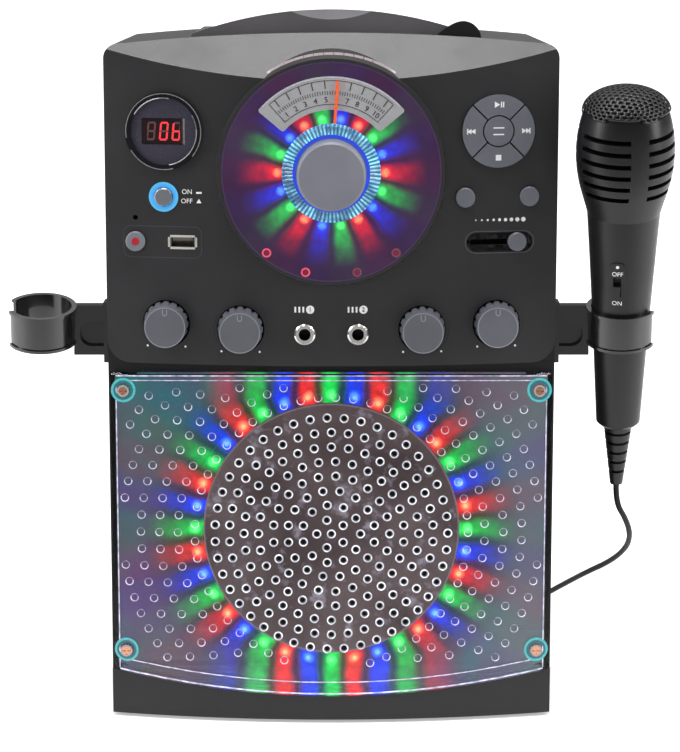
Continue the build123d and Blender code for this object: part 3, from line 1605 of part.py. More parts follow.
def make_mic_body():
    """The tapered handle, the slotted head shell, the switch plate and the ribbed tail."""
    body = mic_outline()
    band = Pos(0, 0, 102) * Box(90, 90, 56)
    mouth = Pos(0, 0, mic_mesh_s - 2) * Cylinder(mic_mesh_radius - mic_wall, 6)
    hollow = (mic_outline(-mic_wall) & band) + mouth
    body = body - hollow
    for row in range(slot_rows):
        s = slot_start_s + slot_pitch * row
        spines = Box(2 * slot_spine, 90, 10) + Box(90, 2 * slot_spine, 10)
        slot = Cylinder(40, slot_width) - Rot(0, 0, mic_spine_turn) * spines
        body = body - Pos(0, 0, s) * slot
    plate = Plane(origin=(0, 0, mic_plate_s), x_dir=(1, 0, 0), z_dir=(0, -1, 0))
    plate = extrude(plate * RectangleRounded(mic_plate_width, mic_plate_length, 4), 40)
    body = body + (mic_outline(0.6) & Rot(0, 0, mic_switch_turn) * plate)
    switch_x, switch_y, switch_s = mic_switch_size
    channel_length = switch_s + mic_switch_travel + 4 * touch_gap
    channel = Pos(0, -20, mic_switch_s) * Box(switch_x + 0.4, 2 * (switch_y - 0.2), channel_length)
    body = body - Rot(0, 0, mic_switch_turn) * channel
    relief_length = mic_low_s - mic_tail_s
    relief = Pos(0, 0, mic_low_s - relief_length / 2) * Cone(3.6, 8.2, relief_length)
    for n in range(tail_groove_count):
        s = mic_low_s - 4.6 - tail_groove_pitch * n
        core = 2.7 + 0.85 * (tail_groove_count - 1 - n)
        relief = relief - Pos(0, 0, s) * (Cylinder(12, tail_groove_width) - Cylinder(core, 3))
    return mic_frame() * (body + relief + capsule_cup())


def capsule_cup():
    """The cup inside the head shell that holds the microphone's capsule."""
    low = mic_mesh_s - 51
    length = capsule_cup_top_s - low
    middle = (low + capsule_cup_top_s) / 2
    cup = Cylinder(capsule_cup_radius, length) - Cylinder(capsule_cup_radius - capsule_cup_wall, length)
    return Pos(0, 0, middle) * cup


def make_mic_grille():
    """The domed mesh cap of the microphone."""
    low = mic_mesh_s
    radius = mic_mesh_radius
    shoulder = (radius * 0.74, low + 8.4)
    inner = radius - mic_mesh_thickness
    inner_top = (0, mic_top_s - mic_mesh_thickness)
    inner_shoulder = (shoulder[0] - 1.1, shoulder[1] - 1.2)
    lines = Curve() + [
        Spline((radius, low), shoulder, (0, mic_top_s), tangents=((-0.34, 1), (-1, 0))),
        Line((0, mic_top_s), inner_top),
        Spline(inner_top, inner_shoulder, (inner, low), tangents=((1, 0), (0.3, -1))),
        Line((inner, low), (radius, low)),
    ]
    return mic_frame() * revolve(Plane.XZ * make_face(lines), Axis.Z)


def make_mic_switch():
    """The sliding thumb switch in its channel."""
    button = Pos(0, -18.2, mic_switch_s - mic_switch_travel / 2) * Box(*mic_switch_size)
    return mic_frame() * Rot(0, 0, mic_switch_turn) * button


def cord_points():
    """The cord's route from the microphone's tail round the housing's side to the coil behind it."""
    tail = mic_frame() * Location((0, 0, mic_tail_s))
    below = mic_frame() * Location((0, 0, mic_tail_s - 13))
    return [
        tuple(tail.position),
        tuple(below.position),
        (171.2, -52.0, 105.5),
        (176.0, -36.0, 92.0),
        (176.3, -11.0, 77.5),
        (170.0, 20.0, 61.5),
        (159.0, 54.0, 46.0),
        (148.0, 86.0, 30.0),
        (135.5, 114.0, 14.0),
        (118.0, 133.0, 4.6),
        (97.0, coil_y + coil_radius, 1.75),
        (76.0, coil_y + coil_radius, 1.75),
    ]


def tangent_radii(points):
    """Radius of each corner's arc: 0.45 of the shorter run over the tangent of half the turn."""
    radii = []
    for a, b, c in zip(points, points[1:], points[2:]):
        first = Vector(*b) - Vector(*a)
        second = Vector(*c) - Vector(*b)
        turn = radians(first.get_angle(second))
        radii.append(0.45 * min(first.length, second.length) / tan(turn / 2))
    return radii


def make_mic_cord():
    """The free stretch of the microphone's cord."""
    points = cord_points()
    radii = tangent_radii(points)
    path = FilletPolyline(*points, radius=radii)
    start = Plane(origin=path @ 0, z_dir=path % 0)
    return sweep(start * Circle(cord_radius), path=path)


def make_mic_cord_coil():
    """The coiled rest of the cord: the ring that its turns fill, and a short lead-in and lead-out."""
    band = coil_columns * cord_radius
    height = 2 * coil_rows * cord_radius
    ring = Cylinder(coil_radius + band, height) - Cylinder(coil_radius - band, height + 2)
    ring = Pos(coil_x, coil_y, height / 2 + 0.05) * chamfer(ring.edges().filter_by(GeomType.CIRCLE), 1.5)
    tangent_y = coil_y + coil_radius
    start_x, _, start_z = cord_points()[-1]
    lead_in = Rot(0, 90, 0) * Cylinder(cord_radius, start_x - coil_x)
    lead_in = Pos((coil_x + start_x) / 2, tangent_y, start_z) * lead_in
    lead_out = Rot(0, 90, 0) * Cylinder(cord_radius, coil_x - plug_back_x)
    lead_out = Pos((coil_x + plug_back_x) / 2, tangent_y, plug_barrel_radius + running_gap) * lead_out
    return ring + lead_in + lead_out


def make_mic_plug():
    """The cord's 6.35 mm plug, lying beside the coil."""
    spot = Location((plug_back_x, coil_y + coil_radius, plug_barrel_radius + running_gap), (0, -90, 0))
    barrel_low = plug_sleeve_length
    barrel_top = barrel_low + plug_barrel_length
    shaft_top = barrel_top + plug_shaft_length
    sleeve = Pos(0, 0, barrel_low / 2) * Cone(2.6, plug_barrel_radius - 0.8, barrel_low)
    barrel = Pos(0, 0, (barrel_low + barrel_top) / 2) * Cylinder(plug_barrel_radius, plug_barrel_length)
    barrel = sleeve + barrel
    shaft = Pos(0, 0, (barrel_top + shaft_top) / 2) * Cylinder(plug_radius, plug_shaft_length)
    shaft = shaft + Pos(0, 0, shaft_top + 2.5) * Cone(plug_radius, 1.2, 5)
    for z in (shaft_top - 6, shaft_top - 1):
        shaft = shaft - Pos(0, 0, z) * (Cylinder(5, 0.8) - Cylinder(plug_radius - 0.5, 2))
    return spot * (barrel + shaft)


def build_all():
    """Every node by name."""
    nodes = {
        "front_frame": make_front_frame(),
        "rear_shell": make_rear_shell(),
        "base_plate": make_base_plate(),
        "rubber_feet": make_rubber_feet(),
        "top_deck": make_top_deck(),
        "control_panel": make_control_panel(),
        "window_lens": make_window_lens(),
        "dial_scale": make_dial_scale(),
        "dial_led_board": make_dial_led_board(),
        "light_ring": make_light_ring(),
        "volume_knob": make_volume_knob(),
        "volume_needle": make_volume_needle(),
        "display_bezel": make_display_bezel(),
        "display_module": make_display_module(),
        "indicator_lenses": make_indicator_lenses(),
        "grille_cover": make_grille_cover(),
        "screws": make_screws(),
        "speaker_baffle": make_speaker_baffle(),
        "led_ring_board": make_led_ring_board(),
        "speaker_cloth": make_speaker_cloth(),
        "speaker_frame": make_speaker_frame(),
        "speaker_cone": make_speaker_cone(),
        "control_board": make_control_board(),
        "main_board": make_main_board(),
        "usb_socket": make_usb_socket(),
        "mic_jacks": make_mic_jacks(),
        "rear_jacks": make_rear_jacks(),
        "light_slider": make_light_slider(),
        "middle_key": make_middle_key(),
        "disc_tray": make_disc_tray(),
        "drive_plate": make_drive_plate(),
        "guide_rods": make_guide_rods(),
        "drive_motors": make_drive_motors(),
        "disc_spindle": make_disc_spindle(),
        "sled_gear": make_sled_gear(),
        "motor_pinion": make_motor_pinion(),
        "pickup_sled": make_pickup_sled(),
        "disc_lid": make_disc_lid(),
        "disc_clamp": make_disc_clamp(),
        "lid_release": make_lid_release(),
        "left_mic_holder": make_mic_holder(-1),
        "right_mic_holder": make_mic_holder(1),
        "mic_body": make_mic_body(),
        "mic_grille": make_mic_grille(),
        "mic_switch": make_mic_switch(),
        "mic_cord": make_mic_cord(),
        "mic_cord_coil": make_mic_cord_coil(),
        "mic_plug": make_mic_plug(),
    }
    for name, x, z, radius in button_places():
        nodes[name] = make_round_button(x, z, radius)
    for name, angle in key_directions():
        nodes[name] = make_sector_key(angle)
    for name, x, z in knob_places():
        nodes[name] = make_knob(x, z)
    return nodes


os.makedirs("parts", exist_ok=True)
for name, shape in build_all().items():
    export_step(shape, f"parts/{name}.step")
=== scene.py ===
"""Looks of a home karaoke machine: finishes, prints, lit dial and speaker, clear cover, microphone and cord."""

from math import cos, pi, radians, sin, tau

import bmesh
import bpy
from bpy.props import FloatProperty, FloatVectorProperty, IntProperty, PointerProperty
from mathutils import Euler, Matrix, Vector
from mathutils.bvhtree import BVHTree


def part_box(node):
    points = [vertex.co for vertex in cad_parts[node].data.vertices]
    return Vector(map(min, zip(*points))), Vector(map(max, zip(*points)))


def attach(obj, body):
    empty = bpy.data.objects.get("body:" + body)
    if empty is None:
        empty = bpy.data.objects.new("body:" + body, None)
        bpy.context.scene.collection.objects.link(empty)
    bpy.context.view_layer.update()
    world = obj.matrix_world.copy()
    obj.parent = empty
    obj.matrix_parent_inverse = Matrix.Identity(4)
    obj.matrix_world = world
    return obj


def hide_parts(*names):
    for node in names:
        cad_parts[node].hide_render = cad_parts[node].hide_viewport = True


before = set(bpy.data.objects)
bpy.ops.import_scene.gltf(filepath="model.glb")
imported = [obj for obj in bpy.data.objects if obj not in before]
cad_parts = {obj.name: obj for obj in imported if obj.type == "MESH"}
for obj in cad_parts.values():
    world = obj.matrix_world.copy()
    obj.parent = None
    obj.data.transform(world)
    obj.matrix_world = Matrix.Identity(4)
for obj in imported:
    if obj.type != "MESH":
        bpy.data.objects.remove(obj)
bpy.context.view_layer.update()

bl_info = {
    "name": "Karaoke Machine Looks",
    "version": (1, 0, 0),
    "blender": (4, 5, 0),
    "location": "View3D > Sidebar > Karaoke",
    "description": "Finishes, prints, lights and cord of a home karaoke machine",
    "category": "Object",
}

# Middles of the round parts, in metres. Their y is 0, because each mark finds its own depth.
WINDOW_CENTRE = Vector((0.0, 0.0, 0.3135))
SPEAKER_CENTRE = Vector((0.0, 0.0, 0.109))
DISPLAY_CENTRE = Vector((-0.092, 0.0, 0.3352))
KEY_CENTRE = Vector((0.0916, 0.0, 0.3354))

# The microphone's holder ring, and how the handle leans in it.
MIC_RING = Vector((0.162, -0.088, 0.2265))
MIC_TILT = (radians(14.0), radians(-1.1), 0.0)

COVER_SCREWS = [(x, z) for x in (-0.1165, 0.1165) for z in (0.040, 0.190)]
BAFFLE_FRONT = -0.0924
JACK_X = 0.0147
DIAL_SPAN = radians(47)
DIAL_LAMPS = 18
SPEAKER_LAMPS = 36
KNOBS = {
    "voice_knob": "voice_control",
    "balance_knob": "balance_control",
    "echo_knob": "echo_control",
    "mic_volume_knob": "mic_volume_control",
}
KEYS = ("play_key", "next_key", "previous_key", "stop_key", "middle_key")

# Corners closer than this are one corner, and a mark's back stands this far off its surface.
SAME_CORNER = 0.0000005
MARK_GAP = 0.00001


# ---- Sizes and colours that a user would change


def colour_picker(name, description, default):
    """A colour setting."""
    return FloatVectorProperty(
        name=name, description=description, subtype="COLOR", size=3, min=0.0, max=1.0, default=default
    )


class KaraokeColours(bpy.types.PropertyGroup):
    """Colours of the plastics and the lamps."""

    body: colour_picker("Body", "Charcoal plastic of the housing", (0.0185, 0.0175, 0.0190))
    knob: colour_picker("Knobs", "Grey plastic of the knobs and keys", (0.125, 0.13, 0.152))
    cap: colour_picker("Volume cap", "Paler grey plastic of the volume cap", (0.20, 0.205, 0.24))
    print_white: colour_picker("Prints", "White ink of the marks", (0.92, 0.92, 0.93))
    blue: colour_picker("Blue lamps", "Light of the blue lamps", (0.0, 0.035, 1.0))
    red: colour_picker("Red lamps", "Light of the red lamps", (1.0, 0.012, 0.008))
    green: colour_picker("Green lamps", "Light of the green lamps", (0.0, 0.70, 0.07))


class KaraokeSizes(bpy.types.PropertyGroup):
    """Sizes of the pieces that the looks add."""

    print_height: FloatProperty(
        name="Print height",
        description="How far printed marks stand off the plastic",
        unit="LENGTH",
        default=0.00012,
        min=0.00002,
        max=0.001,
    )
    rim_radius: FloatProperty(
        name="Hole rim radius",
        description="Radius of the raised rim round each sound hole",
        unit="LENGTH",
        default=0.00222,
        min=0.0015,
        max=0.004,
    )
    rim_tube: FloatProperty(
        name="Hole rim thickness",
        description="Half the thickness of the rim's section",
        unit="LENGTH",
        default=0.0005,
        min=0.0002,
        max=0.001,
    )
    mesh_pitch: IntProperty(
        name="Mesh fineness",
        description="How often the microphone's mesh dome is divided",
        default=4,
        min=2,
        max=5,
    )


class KaraokeStage(bpy.types.PropertyGroup):
    """Lights, floor and camera."""

    lens: FloatProperty(
        name="Focal length",
        description="Focal length of the camera in millimetres",
        default=130.45,
        min=20.0,
        max=300.0,
    )
    overhead: FloatProperty(
        name="Overhead light",
        description="Power of the softbox over the machine",
        subtype="POWER",
        default=25.0,
        min=0.0,
    )
    sides: FloatProperty(
        name="Side lights",
        description="Power of each side softbox",
        subtype="POWER",
        default=18.0,
        min=0.0,
    )
    ceiling: FloatProperty(
        name="Ceiling",
        description="Brightness of the white ceiling over the dim studio",
        default=0.86,
        min=0.0,
        max=4.0,
    )


class KaraokeLooks(bpy.types.PropertyGroup):
    """All settings of the machine's looks."""

    colours: PointerProperty(type=KaraokeColours)
    sizes: PointerProperty(type=KaraokeSizes)
    stage: PointerProperty(type=KaraokeStage)


def looks():
    """The scene's settings."""
    return bpy.context.scene.karaoke_looks


# ---- Shader wiring


class Wiring:
    """Adds and joins the nodes of one material or node group."""

    def __init__(self, tree):
        self.tree = tree

    def add(self, kind, inputs=None, **settings):
        made = self.tree.nodes.new(kind)
        for key, value in settings.items():
            setattr(made, key, value)
        self.into(made, inputs or {})
        return made

    def into(self, node, inputs):
        """Joins or sets a node's inputs. A colour may leave out its alpha."""
        for key, value in inputs.items():
            socket = node.inputs[key]
            if isinstance(value, bpy.types.NodeSocket):
                self.tree.links.new(value, socket)
            elif socket.type == "RGBA":
                socket.default_value = (*tuple(value)[:3], 1.0)
            else:
                socket.default_value = value

    def maths(self, operation, first, second=0.0):
        return self.add("ShaderNodeMath", {0: first, 1: second}, operation=operation).outputs[0]

    def plus(self, first, second):
        return self.maths("ADD", first, second)

    def minus(self, first, second):
        return self.maths("SUBTRACT", first, second)

    def times(self, first, second):
        return self.maths("MULTIPLY", first, second)

    def distance(self, first, second):
        """Root of the sum of two squares."""
        return self.maths("SQRT", self.plus(self.maths("POWER", first, 2.0), self.maths("POWER", second, 2.0)))

    def spread(self, value, low, high, to_low=0.0, to_high=1.0, smooth=False):
        """Maps a value from one range onto another."""
        kind = "SMOOTHSTEP" if smooth else "LINEAR"
        inputs = {"Value": value, "From Min": low, "From Max": high, "To Min": to_low, "To Max": to_high}
        return self.add("ShaderNodeMapRange", inputs, interpolation_type=kind).outputs["Result"]

    def mix(self, share, first, second, blend="MIX"):
        """Mixes two colours."""
        made = self.add("ShaderNodeMix", {0: share, 6: first, 7: second}, data_type="RGBA", blend_type=blend)
        return made.outputs[2]

    def scaled(self, colour, share):
        """A colour times a value."""
        return self.add("ShaderNodeVectorMath", {0: colour, 3: share}, operation="SCALE").outputs[0]

    def summed(self, first, second):
        """Two colours of light together."""
        return self.add("ShaderNodeVectorMath", {0: first, 1: second}, operation="ADD").outputs[0]

    def grey(self, value):
        return self.add("ShaderNodeCombineColor", {n: value for n in range(3)}).outputs[0]

    def noise(self, place, scale, detail=2.0, rough=0.5):
        inputs = {"Vector": place, "Scale": scale, "Detail": detail, "Roughness": rough}
        return self.add("ShaderNodeTexNoise", inputs).outputs["Fac"]

    def clouds(self, place, scale, detail, *ranges):
        """Noise mapped from one range onto another."""
        return self.spread(self.noise(place, scale, detail), *ranges)

    def bump(self, height, distance, strength):
        inputs = {"Height": height, "Distance": distance, "Strength": strength}
        return self.add("ShaderNodeBump", inputs).outputs["Normal"]

    def place(self):
        """Object coordinates in metres."""
        return self.add("ShaderNodeTexCoord").outputs["Object"]

    def centred(self, centre):
        """Object coordinates counted from a point."""
        shift = {"Vector": self.place(), "Location": tuple(-c for c in centre)}
        return self.add("ShaderNodeMapping", shift).outputs["Vector"]

    def axes(self, place):
        return self.add("ShaderNodeSeparateXYZ", {0: place}).outputs

    def from_middle(self, axes):
        """Distance from the middle, seen from the front."""
        flat = self.add("ShaderNodeCombineXYZ", {0: axes["X"], 1: axes["Z"]}).outputs[0]
        return self.add("ShaderNodeVectorMath", {0: flat}, operation="LENGTH").outputs["Value"]

    def group(self, tree, inputs):
        return self.add("ShaderNodeGroup", inputs, node_tree=tree).outputs


def shader_group(name, inputs, outputs):
    """A new node group with its sockets, its wiring, its inner inputs and its output node."""
    kinds = {type(None): "NodeSocketVector", float: "NodeSocketFloat", tuple: "NodeSocketColor"}
    group = bpy.data.node_groups.new(name, "ShaderNodeTree")
    for title, default in inputs.items():
        made = group.interface.new_socket(title, in_out="INPUT", socket_type=kinds[type(default)])
        if default is not None:
            made.default_value = default
    for title, kind in outputs.items():
        group.interface.new_socket(title, in_out="OUTPUT", socket_type=kind)
    wires = Wiring(group)
    return group, wires, wires.add("NodeGroupInput").outputs, wires.add("NodeGroupOutput")


def moulded_plastic_group():
    """Fine moulding grain, faint colour unevenness and handling smudges."""
    name = "Moulded plastic"
    if name in bpy.data.node_groups:
        return bpy.data.node_groups[name]
    inputs = {
        "Vector": None,
        "Grain per metre": 1400.0,
        "Smudge": 0.5,
        "Colour": (0.02, 0.02, 0.02, 1.0),
        "Roughness": 0.4,
    }
    outputs = {"Colour": "NodeSocketColor", "Roughness": "NodeSocketFloat", "Height": "NodeSocketFloat"}
    group, wires, entry, out = shader_group(name, inputs, outputs)
    grain = wires.noise(entry["Vector"], entry["Grain per metre"], 3.0, 0.6)
    cloud = wires.noise(entry["Vector"], 22.0, 4.0, 0.62)
    tint = wires.scaled(entry["Colour"], wires.spread(cloud, 0.3, 0.7, 0.88, 1.14))
    worn = wires.times(wires.spread(cloud, 0.45, 0.75, 0.0, 0.16, True), entry["Smudge"])
    speck = wires.spread(grain, 0.3, 0.7, -0.03, 0.03)
    rough = wires.plus(wires.plus(entry["Roughness"], worn), speck)
    wires.into(out, {"Colour": tint, "Roughness": rough, "Height": grain})
    return group


def light_spokes_group():
    """Coloured rays that fan out from a ring of lamps, three colours in turn, with a hot core at each lamp."""
    name = "Light spokes"
    if name in bpy.data.node_groups:
        return bpy.data.node_groups[name]
    inputs = {
        "Vector": None,
        "Lamps": 18.0,
        "Turn": 0.0,
        "Colour shift": 0.0,
        "Ring radius": 0.03,
        "Reach": 0.06,
        "Upright beyond": 1.0,
        "Haze": 0.1,
        "Core": 0.004,
    }
    group, wires, entry, out = shader_group(name, inputs, {"Colour": "NodeSocketColor"})
    axes = wires.axes(entry["Vector"])
    across, upward, limit = axes["X"], axes["Z"], entry["Upright beyond"]
    held = wires.maths("MAXIMUM", wires.maths("MINIMUM", upward, limit), wires.times(limit, -1.0))
    turns = wires.maths("DIVIDE", wires.maths("ARCTAN2", across, held), tau)
    wobble = wires.clouds(entry["Vector"], 45.0, 2.0, 0.3, 0.7, -0.09, 0.09)
    steady = wires.plus(wires.times(wires.plus(turns, 1.0), entry["Lamps"]), entry["Turn"])
    count = wires.plus(steady, wobble)
    off = wires.maths("ABSOLUTE", wires.minus(wires.maths("FRACT", count), 0.5))
    beam = wires.spread(off, 0.5, 0.14, 0.08, 1.0, True)
    third = wires.maths("DIVIDE", wires.plus(count, entry["Colour shift"]), 3.0)
    hue = lamp_colours(wires, wires.maths("FRACT", third))
    far = wires.spread(wires.distance(across, held), entry["Ring radius"], entry["Reach"], 1.0, 0.0)
    fleck = wires.clouds(entry["Vector"], 170.0, 2.0, 0.32, 0.68, 0.62, 1.22)
    ray = wires.times(wires.times(wires.maths("POWER", far, 1.5), beam), fleck)
    lit = wires.scaled(hue, wires.plus(ray, entry["Haze"]))
    radius = wires.distance(across, upward)
    pitch = wires.maths("DIVIDE", tau, entry["Lamps"])
    aside = wires.times(wires.times(wires.minus(wires.maths("FRACT", steady), 0.5), pitch), radius)
    outward = wires.minus(radius, entry["Ring radius"])
    core = wires.spread(wires.distance(aside, outward), entry["Core"], 0.0, 0.0, 1.0, True)
    pale = wires.mix(1.0, hue, (0.12, 0.36, 0.16), "ADD")
    hot = wires.scaled(pale, wires.times(core, 1.1))
    wires.into(out, {"Colour": wires.summed(lit, hot)})
    return group


def lamp_colours(wires, share):
    """A colour ramp of blue, red and green, dim where two of them meet."""
    colours = looks().colours
    blue, red, green = tuple(colours.blue), tuple(colours.red), tuple(colours.green)

    def between(first, second):
        return tuple(0.42 * (a + b) for a, b in zip(first, second))

    stops = [
        (0.0, between(green, blue)),
        (0.07, blue),
        (0.26, blue),
        (0.333, between(blue, red)),
        (0.40, red),
        (0.60, red),
        (0.667, between(red, green)),
        (0.74, green),
        (0.93, green),
        (1.0, between(green, blue)),
    ]
    ramp = wires.add("ShaderNodeValToRGB", {0: share})
    ramp.color_ramp.interpolation = "LINEAR"
    elements = ramp.color_ramp.elements
    while len(elements) < len(stops):
        elements.new(0.5)
    for element, (position, colour) in zip(elements, stops):
        element.position = position
        element.color = (*colour, 1.0)
    return ramp.outputs["Color"]


def empty_material(name):
    """A material with only its Principled BSDF and output."""
    material = bpy.data.materials.new(name)
    material.use_nodes = True
    shader = material.node_tree.nodes["Principled BSDF"]
    return material, Wiring(material.node_tree), shader


def moulded(name, colour, roughness, grain=1400.0, depth=0.00004, smudge=0.5, **constants):
    """Moulded plastic with grain, smudges and constants on the shader's own sockets."""
    material, wires, shader = empty_material(name)
    plastic = wires.group(
        moulded_plastic_group(),
        {
            "Vector": wires.place(),
            "Grain per metre": grain,
            "Smudge": smudge,
            "Colour": colour,
            "Roughness": roughness,
        },
    )
    normal = wires.bump(plastic["Height"], depth, 0.6)
    wires.into(shader, {"Base Color": plastic["Colour"], "Roughness": plastic["Roughness"], "Normal": normal})
    wires.into(shader, {key.replace("_", " "): value for key, value in constants.items()})
    return material


def brushed_metal(name, colour, roughness):
    """Turned or rolled metal with fine streaks."""
    material, wires, shader = empty_material(name)
    stretch = {"Vector": wires.place(), "Scale": (900.0, 60.0, 900.0)}
    lines = wires.noise(wires.add("ShaderNodeMapping", stretch).outputs["Vector"], 1.0, 3.0, 0.6)
    finish = {
        "Base Color": wires.mix(lines, [c * 0.8 for c in colour], colour),
        "Roughness": wires.spread(lines, 0.2, 0.8, roughness * 0.7, roughness * 1.4),
        "Normal": wires.bump(lines, 0.00002, 0.4),
        "Metallic": 1.0,
    }
    wires.into(shader, finish)
    return material


def glowing(name, colour, strength, base=(0.02, 0.02, 0.02)):
    """A lit lens whose light is a little uneven."""
    material, wires, shader = empty_material(name)
    light = wires.scaled(tuple(colour), wires.clouds(wires.place(), 900.0, 2.0, 0.3, 0.7, 0.75, 1.1))
    wires.into(shader, {"Emission Color": light, "Emission Strength": strength, "Base Color": base, "Roughness": 0.3})
    return material


def dress(material, *nodes):
    """Gives CAD nodes a finish."""
    for name in nodes:
        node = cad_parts[name]
        if not node.material_slots:
            node.data.materials.append(material)
        for slot in node.material_slots:
            slot.material = material


# ---- Mesh helpers


class Skin:
    """Finds the outside of CAD nodes by looking along +Y, or along any other line."""

    def __init__(self, *nodes):
        self.trees = []
        for name in nodes:
            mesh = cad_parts[name].data
            corners = [v.co.copy() for v in mesh.vertices]
            self.trees.append(BVHTree.FromPolygons(corners, [tuple(p.vertices) for p in mesh.polygons]))

    def hit(self, start, direction):
        found = [tree.ray_cast(start, direction) for tree in self.trees]
        found = [f for f in found if f[0] is not None]
        return min(found, key=lambda f: f[3]) if found else None

    def ahead(self, x, z):
        """What lies straight behind (x, z), seen from the front."""
        return self.hit(Vector((x, -0.2, z)), Vector((0, 1, 0)))

    def depth(self, x, z, reach=0.0026):
        """The front surface at (x, z); over a hole, the mean of four points beside it."""
        straight = self.ahead(x, z)
        around = [self.ahead(x + dx, z + dz) for dx, dz in ((reach, 0), (-reach, 0), (0, reach), (0, -reach))]
        depths = [f[0].y for f in around if f is not None]
        if straight is not None and (not depths or straight[0].y < max(depths) + 0.0008):
            return straight[0].y
        return sum(depths) / len(depths)


def front_of(name):
    """The foremost y of a CAD node."""
    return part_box(name)[0].y


def middle_of(name):
    """The middle of a CAD node, seen from the front."""
    low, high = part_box(name)
    return (low.x + high.x) / 2, (low.z + high.z) / 2


def radius_of(name):
    """Half the width of a CAD node."""
    low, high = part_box(name)
    return (high.x - low.x) / 2


def finish_piece(bm, name, material, body="housing", smooth=True, flip=False):
    """Turns a bmesh into a piece that rides on a body."""
    bmesh.ops.remove_doubles(bm, verts=bm.verts, dist=SAME_CORNER)
    bmesh.ops.recalc_face_normals(bm, faces=bm.faces)
    if flip:
        bmesh.ops.reverse_faces(bm, faces=bm.faces)
    mesh = bpy.data.meshes.new(name)
    bm.to_mesh(mesh)
    bm.free()
    mesh.materials.append(material)
    if smooth:
        mesh.polygons.foreach_set("use_smooth", [True] * len(mesh.polygons))
        mesh.set_sharp_from_angle(angle=radians(35))
    piece = bpy.data.objects.new(name, mesh)
    bpy.context.scene.collection.objects.link(piece)
    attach(piece, body)
    return piece


def upright(x, z, turn=0.0):
    """Stands a shape that is drawn flat in XY up in the XZ plane, with its middle at (x, z)."""
    return Matrix.Translation((x, 0, z)) @ Matrix.Rotation(turn, 4, "Y") @ Matrix.Rotation(pi / 2, 4, "X")


def bar(bm, x, z, width, height, turn=0.0, cuts=1):
    """A flat bar in the XZ plane."""
    place = upright(x, z, turn) @ Matrix.Diagonal((width / 2, height / 2, 1, 1))
    return bmesh.ops.create_grid(bm, x_segments=cuts, y_segments=1, size=1.0, matrix=place)["verts"]


def dot(bm, x, z, radius, sides=20, turn=0.0):
    """A flat disc, or with few sides a triangle or other polygon, in the XZ plane."""
    place = upright(x, z, turn)
    return bmesh.ops.create_circle(bm, cap_ends=True, radius=radius, segments=sides, matrix=place)["verts"]


def hoop(bm, x, z, inner, outer, steps=40, sweep=tau, start=0.0):
    """A flat ring, or part of one, in the XZ plane, swept clockwise from straight up."""
    ends = [bm.verts.new((x + radius * sin(start), 0, z + radius * cos(start))) for radius in (inner, outer)]
    edge = bm.edges.new(ends)
    whole = abs(sweep - tau) < 1e-6
    bmesh.ops.spin(
        bm, geom=[*ends, edge], cent=(x, 0, z), axis=(0, 1, 0), angle=sweep, steps=steps, use_merge=whole
    )


def polar(centre, radius, angle):
    """The point (x, z) at a radius and a clockwise angle from straight up."""
    return radius * sin(angle), radius * cos(angle) + centre.z


def stadium(left, right, z, half, cuts=10, turns=12):
    """Points of a slot's outline: two straight runs of equal steps and two half circles."""
    run = [left + (right - left) * step / cuts for step in range(cuts + 1)]
    arc = [pi * step / turns for step in range(1, turns)]
    points = [(x, z + half) for x in run] + [(right + half * sin(a), z + half * cos(a)) for a in arc]
    return points + [(x, z - half) for x in reversed(run)] + [(left - half * sin(a), z - half * cos(a)) for a in arc]


def slot_frame(bm, *outlines):
    """A flat ring of quads between two outlines with equal numbers of points."""
    outer, inner = ([bm.verts.new((x, 0, z)) for x, z in outline] for outline in outlines)
    for k in range(len(outer)):
        bm.faces.new((outer[k - 1], outer[k], inner[k], inner[k - 1]))


def raise_faces(bm, shift):
    """Extrudes flat shapes along a vector and gives back the corners that moved."""
    made = bmesh.ops.extrude_face_region(bm, geom=list(bm.faces))
    moved = [g for g in made["geom"] if isinstance(g, bmesh.types.BMVert)]
    bmesh.ops.translate(bm, verts=moved, vec=shift)
    return moved


def lay_on(bm, skin, depth):
    """Lays flat marks on a surface that faces the front, just proud of it."""
    bmesh.ops.remove_doubles(bm, verts=bm.verts, dist=SAME_CORNER)
    raise_faces(bm, (0, -depth, 0))
    for v in bm.verts:
        v.co.y += skin.depth(v.co.x, v.co.z) + MARK_GAP


def lay_flat(bm, y, depth):
    """Lays flat marks on a plane at depth y."""
    bmesh.ops.remove_doubles(bm, verts=bm.verts, dist=SAME_CORNER)
    raise_faces(bm, (0, -depth, 0))
    bmesh.ops.translate(bm, verts=bm.verts, vec=(0, y + MARK_GAP, 0))


def write(bm, words, x, z, height, turn=0.0):
    """Plain words or numbers as flat faces in the XZ plane, centred on (x, z)."""
    curve = bpy.data.curves.new("words", "FONT")
    curve.body = words
    curve.size = height
    curve.align_x = "CENTER"
    curve.align_y = "CENTER"
    curve.resolution_u = 3
    holder = bpy.data.objects.new("words", curve)
    bpy.context.scene.collection.objects.link(holder)
    bpy.context.view_layer.update()
    mesh = bpy.data.meshes.new_from_object(holder)
    bpy.data.objects.remove(holder)
    bpy.data.curves.remove(curve)
    mesh.transform(upright(x, z, turn))
    bm.from_mesh(mesh)
    bpy.data.meshes.remove(mesh)


def mic_matrix():
    """Places a piece drawn along +Z, counted from the holder ring, on the tilted microphone."""
    return Matrix.Translation(MIC_RING) @ Euler(MIC_TILT, "XYZ").to_matrix().to_4x4()




# ---- Operators


